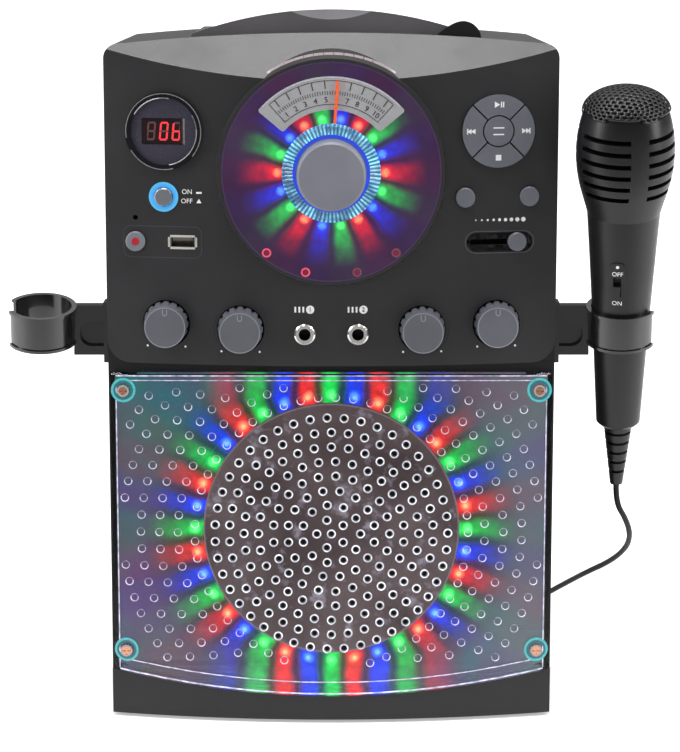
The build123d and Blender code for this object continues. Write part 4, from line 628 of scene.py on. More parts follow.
class KARAOKE_OT_stage(bpy.types.Operator):
    """Floor, white room, softboxes and camera"""

    bl_idname = "karaoke.stage"
    bl_label = "Stage"

    def execute(self, context):
        scene = context.scene
        settings = looks().stage
        scene.view_settings.view_transform = "Standard"
        floor_bm = bmesh.new()
        bmesh.ops.create_grid(floor_bm, x_segments=1, y_segments=1, size=30.0)
        mesh = bpy.data.meshes.new("floor")
        floor_bm.to_mesh(mesh)
        floor_bm.free()
        floor = bpy.data.objects.new("floor", mesh)
        scene.collection.objects.link(floor)
        mesh.materials.append(self.floor_paper())
        scene.world = self.studio_air(settings.ceiling)
        self.softbox("overhead", (0.0, -0.42, 2.2), (0.85, 0.9), settings.overhead, (0.0, -0.42, 0.0))
        for name, side in (("left_box", -1), ("right_box", 1)):
            self.softbox(name, (1.6 * side, -0.55, 0.9), (0.5, 1.7), settings.sides, (0.0, -0.05, 0.2))
        camera = bpy.data.objects.new("camera", bpy.data.cameras.new("camera"))
        scene.collection.objects.link(camera)
        camera.data.lens = settings.lens
        camera.data.sensor_width = 36.0
        camera.data.shift_x = 0.0115
        camera.data.shift_y = 0.038
        camera.data.clip_start = 0.05
        camera.location = (0.0, -1.595, 0.473)
        camera.rotation_euler = (radians(79.0), 0.0, 0.0)
        scene.camera = camera
        return {"FINISHED"}

    def floor_paper(self):
        """White paper that glows a little where the machine stands and behind it, and is dim in front."""
        material, wires, shader = empty_material("White floor")
        back = wires.axes(wires.place())["Y"]
        soft = wires.clouds(wires.place(), 3.0, 2.0, 0.3, 0.7, 0.96, 1.0)
        shade = wires.times(soft, wires.spread(back, -0.60, -0.22, 0.4, 0.9, True))
        near = wires.spread(back, -0.45, -0.18, 0.0, 0.4, True)
        behind = wires.spread(back, 0.1, 1.6, 0.0, 0.5, True)
        finish = {
            "Base Color": wires.grey(shade),
            "Emission Color": wires.grey(wires.plus(near, behind)),
            "Emission Strength": 1.0,
            "Roughness": 0.6,
        }
        wires.into(shader, finish)
        return material

    def studio_air(self, ceiling):
        """A room that lights dimly at eye height and brightly overhead, and that shows as plain white."""
        world = bpy.data.worlds.new("Studio")
        world.use_nodes = True
        wires = Wiring(world.node_tree)
        up = wires.axes(wires.add("ShaderNodeTexCoord").outputs["Generated"])["Z"]
        bright = wires.spread(up, 0.1, 0.9, 0.10, ceiling, True)
        shown = wires.maths("MAXIMUM", bright, wires.add("ShaderNodeLightPath").outputs["Is Camera Ray"])
        wires.into(world.node_tree.nodes["Background"], {"Color": wires.grey(shown), "Strength": 1.0})
        return world

    def softbox(self, name, place, size, power, target):
        """One rectangular softbox that faces a point."""
        lamp = bpy.data.objects.new(name, bpy.data.lights.new(name, "AREA"))
        lamp.data.shape = "RECTANGLE"
        lamp.data.size, lamp.data.size_y = size
        lamp.data.energy = power
        bpy.context.scene.collection.objects.link(lamp)
        lamp.location = place
        lamp.rotation_euler = (Vector(target) - Vector(place)).to_track_quat("-Z", "Y").to_euler()


class KARAOKE_OT_cord(bpy.types.Operator):
    """The microphone's cord: from its tail down round the side to a tied coil behind the machine"""

    bl_idname = "karaoke.cord"
    bl_label = "Cord"

    def execute(self, context):
        points = [
            (0.163912, -0.063909, 0.129876),
            (0.164162, -0.060765, 0.117265),
            (0.1712, -0.052, 0.1055),
            (0.176, -0.036, 0.092),
            (0.1763, -0.011, 0.0775),
            (0.170, 0.020, 0.0615),
            (0.159, 0.054, 0.046),
            (0.148, 0.086, 0.030),
            (0.1355, 0.114, 0.014),
            (0.118, 0.133, 0.0046),
            (0.097, 0.1435, 0.00175),
            (0.076, 0.1435, 0.00175),
            *self.coil_points(),
            (0.030, 0.1435, 0.00565),
            (0.018, 0.1435, 0.0056),
            (0.008, 0.1435, 0.00565),
        ]
        curve = bpy.data.curves.new("cord", "CURVE")
        curve.dimensions = "3D"
        line = curve.splines.new("NURBS")
        line.points.add(len(points) - 1)
        for point, place in zip(line.points, points):
            point.co = (*place, 1.0)
        line.order_u = 3
        line.use_endpoint_u = True
        line.resolution_u = 6
        curve.bevel_depth = 0.00165
        curve.bevel_resolution = 3
        curve.use_fill_caps = True
        cord = bpy.data.objects.new("cord", curve)
        context.scene.collection.objects.link(cord)
        rubber = moulded("Cord rubber", (0.006, 0.006, 0.006), 0.5, 2600.0, smudge=0.3, Specular_IOR_Level=0.2)
        curve.materials.append(rubber)
        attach(cord, "housing")
        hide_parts("mic_cord", "mic_cord_coil")
        return {"FINISHED"}

    def coil_points(self):
        """Sixteen turns in four columns, the outer column first, up one column and down the next."""
        middle = Vector((0.045, 0.124, 0.0))
        pitch, inner, steps = 0.0033, 0.0145, 16
        for turn in range(16):
            column, row = divmod(turn, 4)
            radius = inner + pitch * (3 - column)
            height = 0.0017 + pitch * (row if column % 2 == 0 else 3 - row)
            for step in range(steps):
                angle = pi / 2 + tau * (step / steps)
                yield tuple(middle + Vector((radius * cos(angle), radius * sin(angle), height)))


class KARAOKE_OT_housing(bpy.types.Operator):
    """Finishes of the housing, deck, lid and feet"""

    bl_idname = "karaoke.housing"
    bl_label = "Housing"

    def execute(self, context):
        body = looks().colours.body
        # The deck and the lid are lighter copies of the body's colour: painted light, for the light that falls on
        # them from above and behind.
        panel, deck = (tuple(share * c for c in body) for share in (1.25, 3.2))
        lid = tuple(1.9 * c for c in deck)
        shell = moulded("Housing plastic", body, 0.45, 1700.0, 0.00003, Specular_IOR_Level=0.3)
        dress(shell, "front_frame", "rear_shell", "base_plate")
        dress(moulded("Panel plastic", panel, 0.36, 900.0, 0.00001, 0.3), "control_panel")
        dress(moulded("Deck plastic painted lighter", deck, 0.36, 1500.0, 0.00002), "top_deck")
        dress(moulded("Lid plastic painted lighter", lid, 0.30, 1500.0, 0.00002), "disc_lid")
        dress(moulded("Tab plastic", (0.008, 0.008, 0.009), 0.22, smudge=0.2), "lid_release")
        dress(moulded("Foot rubber", (0.02, 0.02, 0.02), 0.75, 900.0, 0.0001), "rubber_feet")
        holder = moulded("Holder plastic", (0.012, 0.011, 0.012), 0.16, smudge=0.3, Coat_Weight=0.6)
        dress(holder, "left_mic_holder", "right_mic_holder")
        return {"FINISHED"}


class KARAOKE_OT_window(bpy.types.Operator):
    """The smoked window with its rays, dial plate, lamps and the volume knob"""

    bl_idname = "karaoke.window"
    bl_label = "Window and dial"

    def execute(self, context):
        dress(self.smoked_window(), "window_lens")
        dress(moulded("Dial plate", (0.40, 0.40, 0.41), 0.35, smudge=0.6), "dial_scale")
        dress(moulded("Circuit board", (0.004, 0.012, 0.006), 0.5), "dial_led_board", "main_board", "control_board")
        dress(moulded("Volume cap", looks().colours.cap, 0.42, 1200.0), "volume_knob")
        dress(glowing("Needle light", (0.85, 0.13, 0.03), 0.75, (0.4, 0.05, 0.02)), "volume_needle")
        dress(self.clear_ring(), "light_ring")
        dress(self.lamp_lens(), "indicator_lenses")
        self.dial_ticks()
        self.dial_edge()
        self.lamp_dies()
        self.indicator_rings()
        self.collar_edge()
        self.window_edge()
        self.cap_light()
        return {"FINISHED"}

    def smoked_window(self):
        """Near-black purple plastic with the rays of the lamps behind it painted on as glow; its own purple tone also
        glows a little, as painted light.
        """
        material, wires, shader = empty_material("Smoked window")
        spokes = {
            "Vector": wires.centred(WINDOW_CENTRE),
            "Lamps": float(DIAL_LAMPS),
            "Ring radius": 0.0295,
            "Reach": 0.0535,
            "Haze": 0.012,
            "Core": 0.0034,
        }
        rays = wires.group(light_spokes_group(), spokes)["Colour"]
        tone = wires.mix(wires.noise(wires.place(), 40.0, 3.0), (0.012, 0.005, 0.022), (0.040, 0.018, 0.050))
        finish = {
            "Base Color": tone,
            "Emission Color": wires.summed(tone, rays),
            "Emission Strength": 0.9,
            "Specular IOR Level": 0.3,
            "Roughness": 0.12,
        }
        wires.into(shader, finish)
        return material

    def clear_ring(self):
        """Clear ribbed ring that carries the cyan light of the lamps under it."""
        material, wires, shader = empty_material("Clear ribbed ring")
        axes = wires.axes(wires.centred(WINDOW_CENTRE))
        ribs = wires.maths("SINE", wires.times(wires.maths("ARCTAN2", axes["X"], axes["Z"]), 72.0))
        bright = wires.spread(ribs, -1.0, 1.0, 0.15, 1.0, True)
        share = wires.times(bright, wires.clouds(wires.place(), 160.0, 2.0, 0.35, 0.65, 0.2, 1.0))
        tone = wires.mix(share, (0.02, 0.10, 0.28), (0.25, 0.75, 0.95))
        finish = {
            "Base Color": tone,
            "Emission Color": wires.scaled(tone, share),
            "Normal": wires.bump(ribs, 0.0006, 0.8),
            "Emission Strength": 0.7,
            "Roughness": 0.08,
        }
        wires.into(shader, finish)
        return material

    def lamp_lens(self):
        """Lamp plastic: a blue halo that pales outwards round the power button, dark red in the window."""
        material, wires, shader = empty_material("Lamp plastic")
        x, z = middle_of("power_button")
        reach = wires.from_middle(wires.axes(wires.centred((x, 0.0, z))))
        halo = wires.mix(wires.spread(reach, 0.0050, 0.0080), (0.02, 0.16, 0.60), (0.10, 0.42, 0.62))
        beyond = wires.spread(reach, 0.02, 0.03)
        finish = {
            "Emission Color": wires.mix(beyond, halo, (0.16, 0.008, 0.03)),
            "Base Color": wires.mix(beyond, (0.05, 0.3, 0.6), (0.1, 0.01, 0.03)),
            "Emission Strength": 0.6,
            "Roughness": 0.25,
        }
        wires.into(shader, finish)
        return material

    def dial_ticks(self):
        """Ten ticks, a scale of short ones, a thin outline and plain numbers on the dial plate."""
        bm = bmesh.new()
        inner, outer = 0.0372, 0.0500
        for n in range(10):
            angle = DIAL_SPAN * (-0.9 + 1.8 * (n + 0.5) / 10)
            bar(bm, *polar(WINDOW_CENTRE, 0.0478, angle), 0.0005, 0.0042, angle)
        for n in range(46):
            angle = DIAL_SPAN * (-0.86 + 1.72 * n / 45)
            bar(bm, *polar(WINDOW_CENTRE, 0.0435, angle), 0.0003, 0.002, angle)
        for radius in (inner, outer):
            hoop(bm, 0, WINDOW_CENTRE.z, radius, radius + 0.0003, 30, 1.8 * DIAL_SPAN, -0.9 * DIAL_SPAN)
        for angle in (-0.9 * DIAL_SPAN, 0.9 * DIAL_SPAN):
            bar(bm, *polar(WINDOW_CENTRE, (inner + outer) / 2, angle), 0.0003, outer - inner, angle)
        for n in range(10):
            angle = DIAL_SPAN * (-0.88 + 1.76 * (n + 0.5) / 10)
            write(bm, str(n + 1), *polar(WINDOW_CENTRE, 0.0397, angle), 0.0042, angle)
        lay_flat(bm, front_of("dial_scale"), looks().sizes.print_height)
        ink = moulded("Dial ink", (0.02, 0.02, 0.03), 0.5, smudge=0.2)
        finish_piece(bm, "dial_marks", ink, smooth=False)

    def dial_edge(self):
        """The light along the dial plate's upper edge."""
        bm = bmesh.new()
        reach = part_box("dial_scale")[1].z - WINDOW_CENTRE.z
        hoop(bm, 0, WINDOW_CENTRE.z, reach - 0.0009, reach - 0.0002, 40, 1.96 * DIAL_SPAN, -0.98 * DIAL_SPAN)
        lay_flat(bm, front_of("dial_scale"), looks().sizes.print_height)
        pale = glowing("Dial edge light", (0.72, 0.74, 0.78), 0.7)
        finish_piece(bm, "dial_edge", pale, smooth=False)

    def lamp_dies(self):
        """The bright dies of the lamps in the window, apart from those that the dial plate hides."""
        colours = looks().colours
        order = (("blue", colours.blue), ("red", colours.red), ("green", colours.green))
        for first, (title, colour) in enumerate(order):
            bm = bmesh.new()
            for n in range(first, DIAL_LAMPS, 3):
                angle = tau * (n + 0.5) / DIAL_LAMPS
                if cos(angle) < 0.45:
                    bar(bm, *polar(WINDOW_CENTRE, 0.0300, angle), 0.0044, 0.0009, angle)
            lay_flat(bm, front_of("window_lens"), 0.0001)
            bright = tuple(min(1.0, c + extra) for c, extra in zip(colour, (0.10, 0.40, 0.15)))
            lamp = glowing(f"Window lamps {title}", bright, 0.9)
            finish_piece(bm, f"window_lamps_{title}", lamp, smooth=False)

    def indicator_rings(self):
        """A thin ring round each of the four small lamps, two of them lit."""
        front = min(front_of("window_lens"), front_of("indicator_lenses"))
        for title, places, colour, power in (
            ("lit", ((-0.03554, 0.26945), (-0.01417, 0.2587)), (1.0, 0.10, 0.20), 0.9),
            # The two unlit rings glow faintly too: painted light.
            ("dark", ((0.01417, 0.2587), (0.03554, 0.26945)), (0.45, 0.12, 0.22), 0.35),
        ):
            bm = bmesh.new()
            for x, z in places:
                hoop(bm, x, z, 0.0017, 0.0026, 20)
            lay_flat(bm, front, 0.00012)
            light = glowing(f"Indicator ring {title}", colour, power)
            finish_piece(bm, f"indicator_rings_{title}", light, smooth=False)

    def collar_edge(self):
        """The pale light along the top edge of the collar."""
        bm = bmesh.new()
        sweep = radians(66)
        hoop(bm, 0, WINDOW_CENTRE.z, 0.0636, 0.0647, 40, sweep, -sweep / 2)
        lay_on(bm, Skin("control_panel"), 0.0001)
        finish_piece(bm, "collar_edge", glowing("Collar edge light", (0.62, 0.50, 0.54), 0.75))

    def window_edge(self):
        """A faint purple glow painted along the window's edge: painted light."""
        bm = bmesh.new()
        radius = radius_of("window_lens")
        hoop(bm, 0, WINDOW_CENTRE.z, radius - 0.0010, radius - 0.0002, 72)
        lay_flat(bm, front_of("window_lens"), 0.00008)
        finish_piece(bm, "window_edge", glowing("Window edge light", (0.05, 0.02, 0.08), 0.7))

    def cap_light(self):
        """The blue ring of light round the cap."""
        bm = bmesh.new()
        hoop(bm, 0, WINDOW_CENTRE.z, 0.0189, 0.0212, 64)
        lay_flat(bm, front_of("light_ring") - 0.0001, 0.0002)
        finish_piece(bm, "cap_light", glowing("Cap light", (0.01, 0.06, 0.75), 1.0), "volume")


class KARAOKE_OT_display(bpy.types.Operator):
    """The display's face, ring and lit digits"""

    bl_idname = "karaoke.display"
    bl_label = "Display"

    # A digit's bars: how far aside and up from its middle, and whether they lie flat.
    bars = {
        "a": (0, 2, True),
        "b": (1, 1, False),
        "c": (1, -1, False),
        "d": (0, -2, True),
        "e": (-1, -1, False),
        "f": (-1, 1, False),
        "g": (0, 0, True),
    }

    def execute(self, context):
        dress(brushed_metal("Dark chrome", (0.045, 0.045, 0.05), 0.18), "display_bezel")
        dress(moulded("Display face", (0.040, 0.036, 0.056), 0.25, smudge=0.3), "display_module")
        self.ring_light()
        skin = Skin("display_module")
        bm = bmesh.new()
        bar(bm, DISPLAY_CENTRE.x, DISPLAY_CENTRE.z, 0.0236, 0.0142, cuts=8)
        lay_on(bm, skin, 0.0001)
        glass = moulded("Digit glass", (0.012, 0.002, 0.004), 0.15, smudge=0.2)
        finish_piece(bm, "digit_glass", glass)
        lit, dark = bmesh.new(), bmesh.new()
        for place, shown in ((-0.0068, ""), (0.0002, "abcdef"), (0.0072, "cdefg")):
            for name in self.bars:
                self.segment(lit if name in shown else dark, name, DISPLAY_CENTRE.x + place, DISPLAY_CENTRE.z)
        for bm, title, colour, power in (
            (lit, "digits_lit", (1.0, 0.035, 0.045), 1.3),
            # The unlit bars glow faintly: painted light.
            (dark, "digits_dark", (0.55, 0.18, 0.17), 0.20),
        ):
            lay_on(bm, skin, 0.00022)
            finish_piece(bm, title, glowing(title.replace("_", " "), colour, power), smooth=False)
        return {"FINISHED"}

    def ring_light(self):
        """Painted highlights: thin bright arcs along the edges of the display's dark ring."""
        outer = radius_of("display_bezel") - 0.0003
        inner = radius_of("display_bezel") - 0.0027
        bm = bmesh.new()
        for radius, start, sweep in ((outer, -100, 230), (outer, 165, 75), (inner, 60, 110), (inner, -60, 70)):
            hoop(bm, DISPLAY_CENTRE.x, DISPLAY_CENTRE.z, radius - 0.0005, radius, 40, radians(sweep), radians(start))
        lay_on(bm, Skin("display_bezel"), 0.0001)
        finish_piece(bm, "display_ring_light", brushed_metal("Painted edge highlight", (0.62, 0.63, 0.66), 0.3))

    def segment(self, bm, name, x, z):
        """One bar of a seven-bar digit, leaning a little."""
        half, step, thick = 0.0019, 0.0023, 0.00105
        aside, up, level = self.bars[name]
        dx, dz = aside * half, up * step
        x, z = x + dx + 0.1 * dz, z + dz
        if level:
            bar(bm, x, z, 2 * half - 0.0002, thick)
        else:
            bar(bm, x, z, thick, 2 * step - 0.0005, 0.1)


class KARAOKE_OT_controls(bpy.types.Operator):
    """Finishes and marks of the keys, buttons, knobs, jacks and slider"""

    bl_idname = "karaoke.controls"
    bl_label = "Controls"

    def execute(self, context):
        grey = looks().colours.knob
        key, knob, record = (tuple(share * c for c in grey) for share in (1.15, 0.85, 1.7))
        dress(moulded("Key plastic", key, 0.4, 1300.0), *KEYS, "repeat_button", "source_button", "light_slider")
        dress(moulded("Knob plastic", knob, 0.45, 1300.0), *KNOBS)
        dress(moulded("Record plastic", record, 0.4), "record_button")
        dress(brushed_metal("Power button metal", (0.42, 0.44, 0.48), 0.35), "power_button")
        dress(brushed_metal("Jack chrome", (0.82, 0.80, 0.76), 0.14), "mic_jacks")
        dress(brushed_metal("Socket steel", (0.32, 0.30, 0.27), 0.3), "usb_socket")
        white = moulded("White ink", looks().colours.print_white, 0.5, smudge=0.2)
        panel = Skin("control_panel")
        self.panel_prints(panel, white)
        self.jack_numbers(panel)
        self.key_icons(white)
        self.knob_marks()
        self.slider_slot(panel)
        self.record_mark()
        self.usb_frame(panel)
        self.pocket_outline(panel)
        self.jack_linings()
        self.knob_gaps(panel)
        return {"FINISHED"}

    def panel_prints(self, panel, white):
        """ON, OFF, bars and dots on the panel."""
        bm = bmesh.new()
        write(bm, "ON", -0.0793, 0.3021, 0.0037)
        write(bm, "OFF", -0.0795, 0.2970, 0.0037)
        bar(bm, -0.0727, 0.3017, 0.0030, 0.0010)
        dot(bm, -0.0727, 0.2968, 0.0016, 3)
        for n in range(9):
            dot(bm, 0.0795 + 0.0033 * n, 0.2865, 0.0004 + 0.00011 * n, 14)
        for x in (-JACK_X, JACK_X):
            dot(bm, x + 0.0030, 0.2376, 0.0023, 20)
            for step in range(3):
                bar(bm, x - 0.0052 + 0.0022 * step, 0.2376, 0.0010, 0.0032)
        for x, z in ((-0.0916, 0.2286), (-0.0503, 0.2264), (0.0503, 0.2264), (0.0916, 0.2286)):
            for angle in (radians(-140), radians(140)):
                dot(bm, x + 0.0165 * sin(angle), z + 0.0165 * cos(angle), 0.0006, 10)
        lay_on(bm, panel, looks().sizes.print_height)
        finish_piece(bm, "panel_marks", white, smooth=False)

    def jack_numbers(self, panel):
        """Dark 1 and 2 on the white dots over the jacks."""
        bm = bmesh.new()
        write(bm, "1", -JACK_X + 0.0030, 0.2376, 0.0036)
        write(bm, "2", JACK_X + 0.0030, 0.2376, 0.0036)
        lay_on(bm, panel, 2.2 * looks().sizes.print_height)
        finish_piece(bm, "jack_numbers", moulded("Dark ink", (0.02, 0.02, 0.02), 0.5), smooth=False)

    def slider_slot(self, panel):
        """Painted shade on the floor of the slider's recess, round its slot, and a painted highlight along the
        recess's edge.
        """
        z = middle_of("light_slider")[1]
        left, right = 0.0797, 0.1059
        bm = bmesh.new()
        slot_frame(bm, stadium(left, right, z, 0.0050), stadium(0.0778, 0.1078, z, 0.0017))
        lay_on(bm, panel, 0.00001)
        # Near-black: painted shade in the recess.
        finish_piece(bm, "slider_recess", moulded("Painted recess shade", (0.003, 0.003, 0.003), 0.12))
        bm = bmesh.new()
        for side in (-1, 1):
            bar(bm, (left + right) / 2, z + side * 0.0060, right - left, 0.0004, cuts=10)
        for x, start in ((left, pi), (right, 0)):
            hoop(bm, x, z, 0.0058, 0.0062, 16, pi, start)
        lay_on(bm, panel, 0.00008)
        # Paler than the panel: a painted highlight along the recess's edge.
        rim = moulded("Painted recess edge highlight", (0.11, 0.10, 0.12), 0.3, smudge=0.2)
        finish_piece(bm, "slider_rim_highlight", rim, smooth=False)

    def record_mark(self):
        """The record button's red centre."""
        bm = bmesh.new()
        dot(bm, *middle_of("record_button"), 0.0022, 24)
        lay_on(bm, Skin("record_button"), 0.0001)
        red = moulded("Record red", (0.50, 0.015, 0.035), 0.4, smudge=0.2)
        finish_piece(bm, "record_mark", red, "record_button", smooth=False)

    def usb_frame(self, panel):
        """The bright frame round the USB socket."""
        x, z = middle_of("usb_socket")
        wide, tall, thick = 0.0162, 0.0078, 0.0012
        bm = bmesh.new()
        for side in (-1, 1):
            bar(bm, x, z + side * (tall - thick) / 2, wide - 2 * thick, thick, cuts=4)
            bar(bm, x + side * (wide - thick) / 2, z, thick, tall - 2 * thick)
        lay_on(bm, panel, 0.0004)
        steel = moulded("Bright steel", (0.62, 0.60, 0.56), 0.22, smudge=0.3, Metallic=0.25)
        finish_piece(bm, "usb_frame", steel)

    def pocket_outline(self, panel):
        """A painted highlight along the edge of the shallow pocket round the record button and the USB socket."""
        left, right, bottom, top, corner, half = -0.1150, -0.0715, 0.2655, 0.2828, 0.0040, 0.0002
        bm = bmesh.new()
        for z in (top, bottom):
            bar(bm, (left + right) / 2, z, right - left - 2 * corner, 2 * half, cuts=6)
        for x in (left, right):
            bar(bm, x, (top + bottom) / 2, 2 * half, top - bottom - 2 * corner)
        for x, z, start in (
            (left + corner, top - corner, -pi / 2),
            (right - corner, top - corner, 0),
            (right - corner, bottom + corner, pi / 2),
            (left + corner, bottom + corner, pi),
        ):
            hoop(bm, x, z, corner - half, corner + half, 10, pi / 2, start)
        lay_on(bm, panel, 0.00008)
        edge = moulded("Painted pocket edge highlight", (0.060, 0.055, 0.062), 0.3, smudge=0.2)
        finish_piece(bm, "pocket_outline", edge, smooth=False)

    def jack_linings(self):
        """A cup of black plastic inside each jack, open to the front and seen from inside."""
        bm = bmesh.new()
        front = front_of("mic_jacks")
        radius = 0.00326
        for x in (-JACK_X, JACK_X):
            place = Matrix.Translation((x, front + 0.0060, 0.2241)) @ Matrix.Rotation(pi / 2, 4, "X")
            bmesh.ops.create_cone(
                bm, cap_ends=True, segments=32, radius1=radius, radius2=radius, depth=0.0080, matrix=place
            )
        for face in [f for f in bm.faces if len(f.verts) > 4 and f.calc_center_median().y < front + 0.004]:
            bm.faces.remove(face)
        finish_piece(bm, "jack_linings", moulded("Jack lining", (0.004, 0.004, 0.004), 0.5), flip=True)

    def knob_gaps(self, panel):
        """Painted shade: a dark ring round each knob, where the gap between knob and panel lies in shade."""
        bm = bmesh.new()
        for name in KNOBS:
            hoop(bm, *middle_of(name), 0.0120, 0.0148, 40)
        lay_on(bm, panel, 0.00005)
        finish_piece(bm, "knob_gaps", moulded("Shaded gap", (0.002, 0.002, 0.002), 0.6))

    def key_icons(self, white):
        """Play, next, previous, stop and a middle mark, each on its own key."""
        x, z = KEY_CENTRE.x, KEY_CENTRE.z
        size, thin, tall, out = 0.0020, 0.0007, 0.0031, 0.0145
        for name in KEYS:
            bm = bmesh.new()
            if name == "play_key":
                dot(bm, x - 0.0014, z + out, size, 3, pi / 2)
                for step in (0.0013, 0.0025):
                    bar(bm, x + step, z + out, thin, tall)
            elif name == "stop_key":
                bar(bm, x, z - out, tall, tall)
            elif name == "middle_key":
                for step in (-0.0018, 0.0018):
                    bar(bm, x, z + step, 0.006, thin)
            else:
                side = 1 if name == "next_key" else -1
                for step in (-0.0008, 0.0014):
                    dot(bm, x + side * (out + step), z, size * 0.85, 3, side * pi / 2)
                bar(bm, x + side * 0.0172, z, thin, tall)
            lay_on(bm, Skin(name), 0.0001)
            finish_piece(bm, f"{name}_mark", white, name, smooth=False)

    def knob_marks(self):
        """A U mark by the rim of each knob's face, and a painted highlight along the edge of the face."""
        grey = moulded("Pale grey ink", (0.26, 0.27, 0.29), 0.5, smudge=0.2)
        # Paler than the knob: a painted highlight along the face's edge.
        painted_edge_highlight = moulded("Painted knob edge highlight", (0.26, 0.27, 0.30), 0.3, smudge=0.3)
        for name, body in KNOBS.items():
            x, z = middle_of(name)
            bm = bmesh.new()
            hoop(bm, x, z + 0.0078, 0.0009, 0.0014, 12, pi, pi / 2)
            for side in (-1, 1):
                bar(bm, x + side * 0.00115, z + 0.0089, 0.0005, 0.0022)
            lay_flat(bm, front_of(name), 0.0001)
            finish_piece(bm, f"{name}_mark", grey, body, smooth=False)
            bm = bmesh.new()
            hoop(bm, x, z, 0.0107, 0.0112, 48)
            lay_flat(bm, front_of(name), 0.00006)
            finish_piece(bm, f"{name}_edge", painted_edge_highlight, body, smooth=False)


class KARAOKE_OT_speaker(bpy.types.Operator):
    """The lit speaker behind the clear cover"""

    bl_idname = "karaoke.speaker"
    bl_label = "Speaker"

    def execute(self, context):
        backing = self.lit_backing()
        dress(backing, "speaker_baffle", "led_ring_board")
        dress(self.speaker_disc(), "speaker_cloth")
        dress(brushed_metal("Speaker steel", (0.35, 0.35, 0.36), 0.4), "speaker_frame")
        dress(moulded("Paper cone", (0.03, 0.03, 0.03), 0.8, 700.0, 0.0002), "speaker_cone")
        self.lamps()
        self.disc_edge()
        self.corner_pads(backing)
        self.lower_glow(backing)
        return {"FINISHED"}

    def lit_backing(self):
        """A glossy dark backing with the light of the ring of lamps painted on as glow: coloured rays, and a wash of
        its own tone that grows outwards and pales to the right.
        """
        material, wires, shader = empty_material("Lit backing")
        place = wires.centred(SPEAKER_CENTRE)
        spokes = {
            "Vector": place,
            "Lamps": float(SPEAKER_LAMPS),
            "Turn": 0.5,
            "Colour shift": 2.0,
            "Ring radius": 0.0772,
            "Reach": 0.107,
            "Upright beyond": 0.074,
            "Haze": 0.035,
            "Core": 0.0042,
        }
        rays = wires.group(light_spokes_group(), spokes)["Colour"]
        cloud = wires.clouds(place, 17.0, 2.0, 0.38, 0.62)
        patch = wires.clouds(place, 31.0, 2.0, 0.42, 0.66)
        tone = wires.mix(cloud, (0.085, 0.042, 0.135), (0.026, 0.120, 0.120))
        tone = wires.mix(patch, tone, (0.075, 0.070, 0.090))
        axes = wires.axes(place)
        rightward = wires.spread(axes["X"], 0.055, 0.115, 0.0, 0.6, True)
        outer = wires.spread(wires.from_middle(axes), 0.080, 0.112, 0.12, 0.95, True)
        painted_wash = wires.scaled(wires.mix(rightward, tone, (0.150, 0.145, 0.190)), outer)
        finish = {
            "Base Color": wires.mix(0.8, tone, (0.0, 0.0, 0.0)),
            "Emission Color": wires.summed(painted_wash, rays),
            "Emission Strength": 1.0,
            "Roughness": 0.35,
            "Specular IOR Level": 0.2,
        }
        wires.into(shader, finish)
        return material

    def speaker_disc(self):
        """Warm grey metallic cloth that glows with painted light; its pale blotches are painted reflections."""
        material, wires, shader = empty_material("Speaker disc")
        place = wires.place()
        painted_reflections = wires.spread(wires.noise(place, 85.0, 4.0, 0.62), 0.54, 0.74, 0.0, 1.0, True)
        broad = wires.clouds(place, 24.0, 2.0, 0.35, 0.65)
        ground = wires.mix(broad, (0.046, 0.026, 0.027), (0.098, 0.066, 0.068))
        tone = wires.mix(painted_reflections, ground, (0.26, 0.23, 0.27))
        finish = {
            "Base Color": tone,
            "Emission Color": tone,
            "Normal": wires.bump(wires.noise(place, 1800.0, 1.0), 0.0001, 0.6),
            "Emission Strength": 0.55,
            "Roughness": 0.45,
            "Metallic": 0.4,
        }
        wires.into(shader, finish)
        return material

    def lamps(self):
        """Bright dies on the ring board."""
        colours = looks().colours
        order = (("green", colours.green), ("blue", colours.blue), ("red", colours.red))
        for first, (title, colour) in enumerate(order):
            bm = bmesh.new()
            for n in range(first, SPEAKER_LAMPS, 3):
                dot(bm, *polar(SPEAKER_CENTRE, 0.077, tau * n / SPEAKER_LAMPS), 0.0013, 10)
            lay_flat(bm, front_of("led_ring_board"), 0.0002)
            bright = tuple(min(1.0, c + extra) for c, extra in zip(colour, (0.18, 0.50, 0.20)))
            lamp = glowing(f"Speaker lamps {title}", bright, 1.3)
            finish_piece(bm, f"speaker_lamps_{title}", lamp, smooth=False)

    def disc_edge(self):
        """A thin pale line of painted light along the edge of the speaker's disc."""
        radius = radius_of("speaker_cloth")
        bm = bmesh.new()
        hoop(bm, 0, SPEAKER_CENTRE.z, radius - 0.0009, radius - 0.0001, 90)
        lay_flat(bm, front_of("speaker_cloth"), 0.0001)
        finish_piece(bm, "disc_edge", glowing("Disc edge light", (0.30, 0.22, 0.27), 0.6))

    def lower_glow(self, backing):
        """The lamps' light on the ledge under the baffle, as far out as the clear cover's foot."""
        ledge, cover = Skin("front_frame"), Skin("grille_cover")
        columns, rows, half, bottom = 60, 5, 0.1195, 0.0290
        bm = bmesh.new()
        bmesh.ops.create_grid(bm, x_segments=columns, y_segments=rows + 1, size=1.0)
        for v in bm.verts:
            column, row = round((v.co.x + 1) / 2 * columns), round((v.co.y + 1) / 2 * (rows + 1))
            x = -half + 2 * half * column / columns
            y, z = BAFFLE_FRONT, bottom
            if row > 0:
                near = cover.depth(x, 0.030) + 0.0030
                y = BAFFLE_FRONT + (near - BAFFLE_FRONT) * (row - 1) / rows
                z = ledge.hit(Vector((x, y, 0.060)), Vector((0, 0, -1)))[0].z + 0.0004
            v.co = (x, y, z)
        raise_faces(bm, (0, -0.0002, 0.0002))
        finish_piece(bm, "lower_glow", backing)

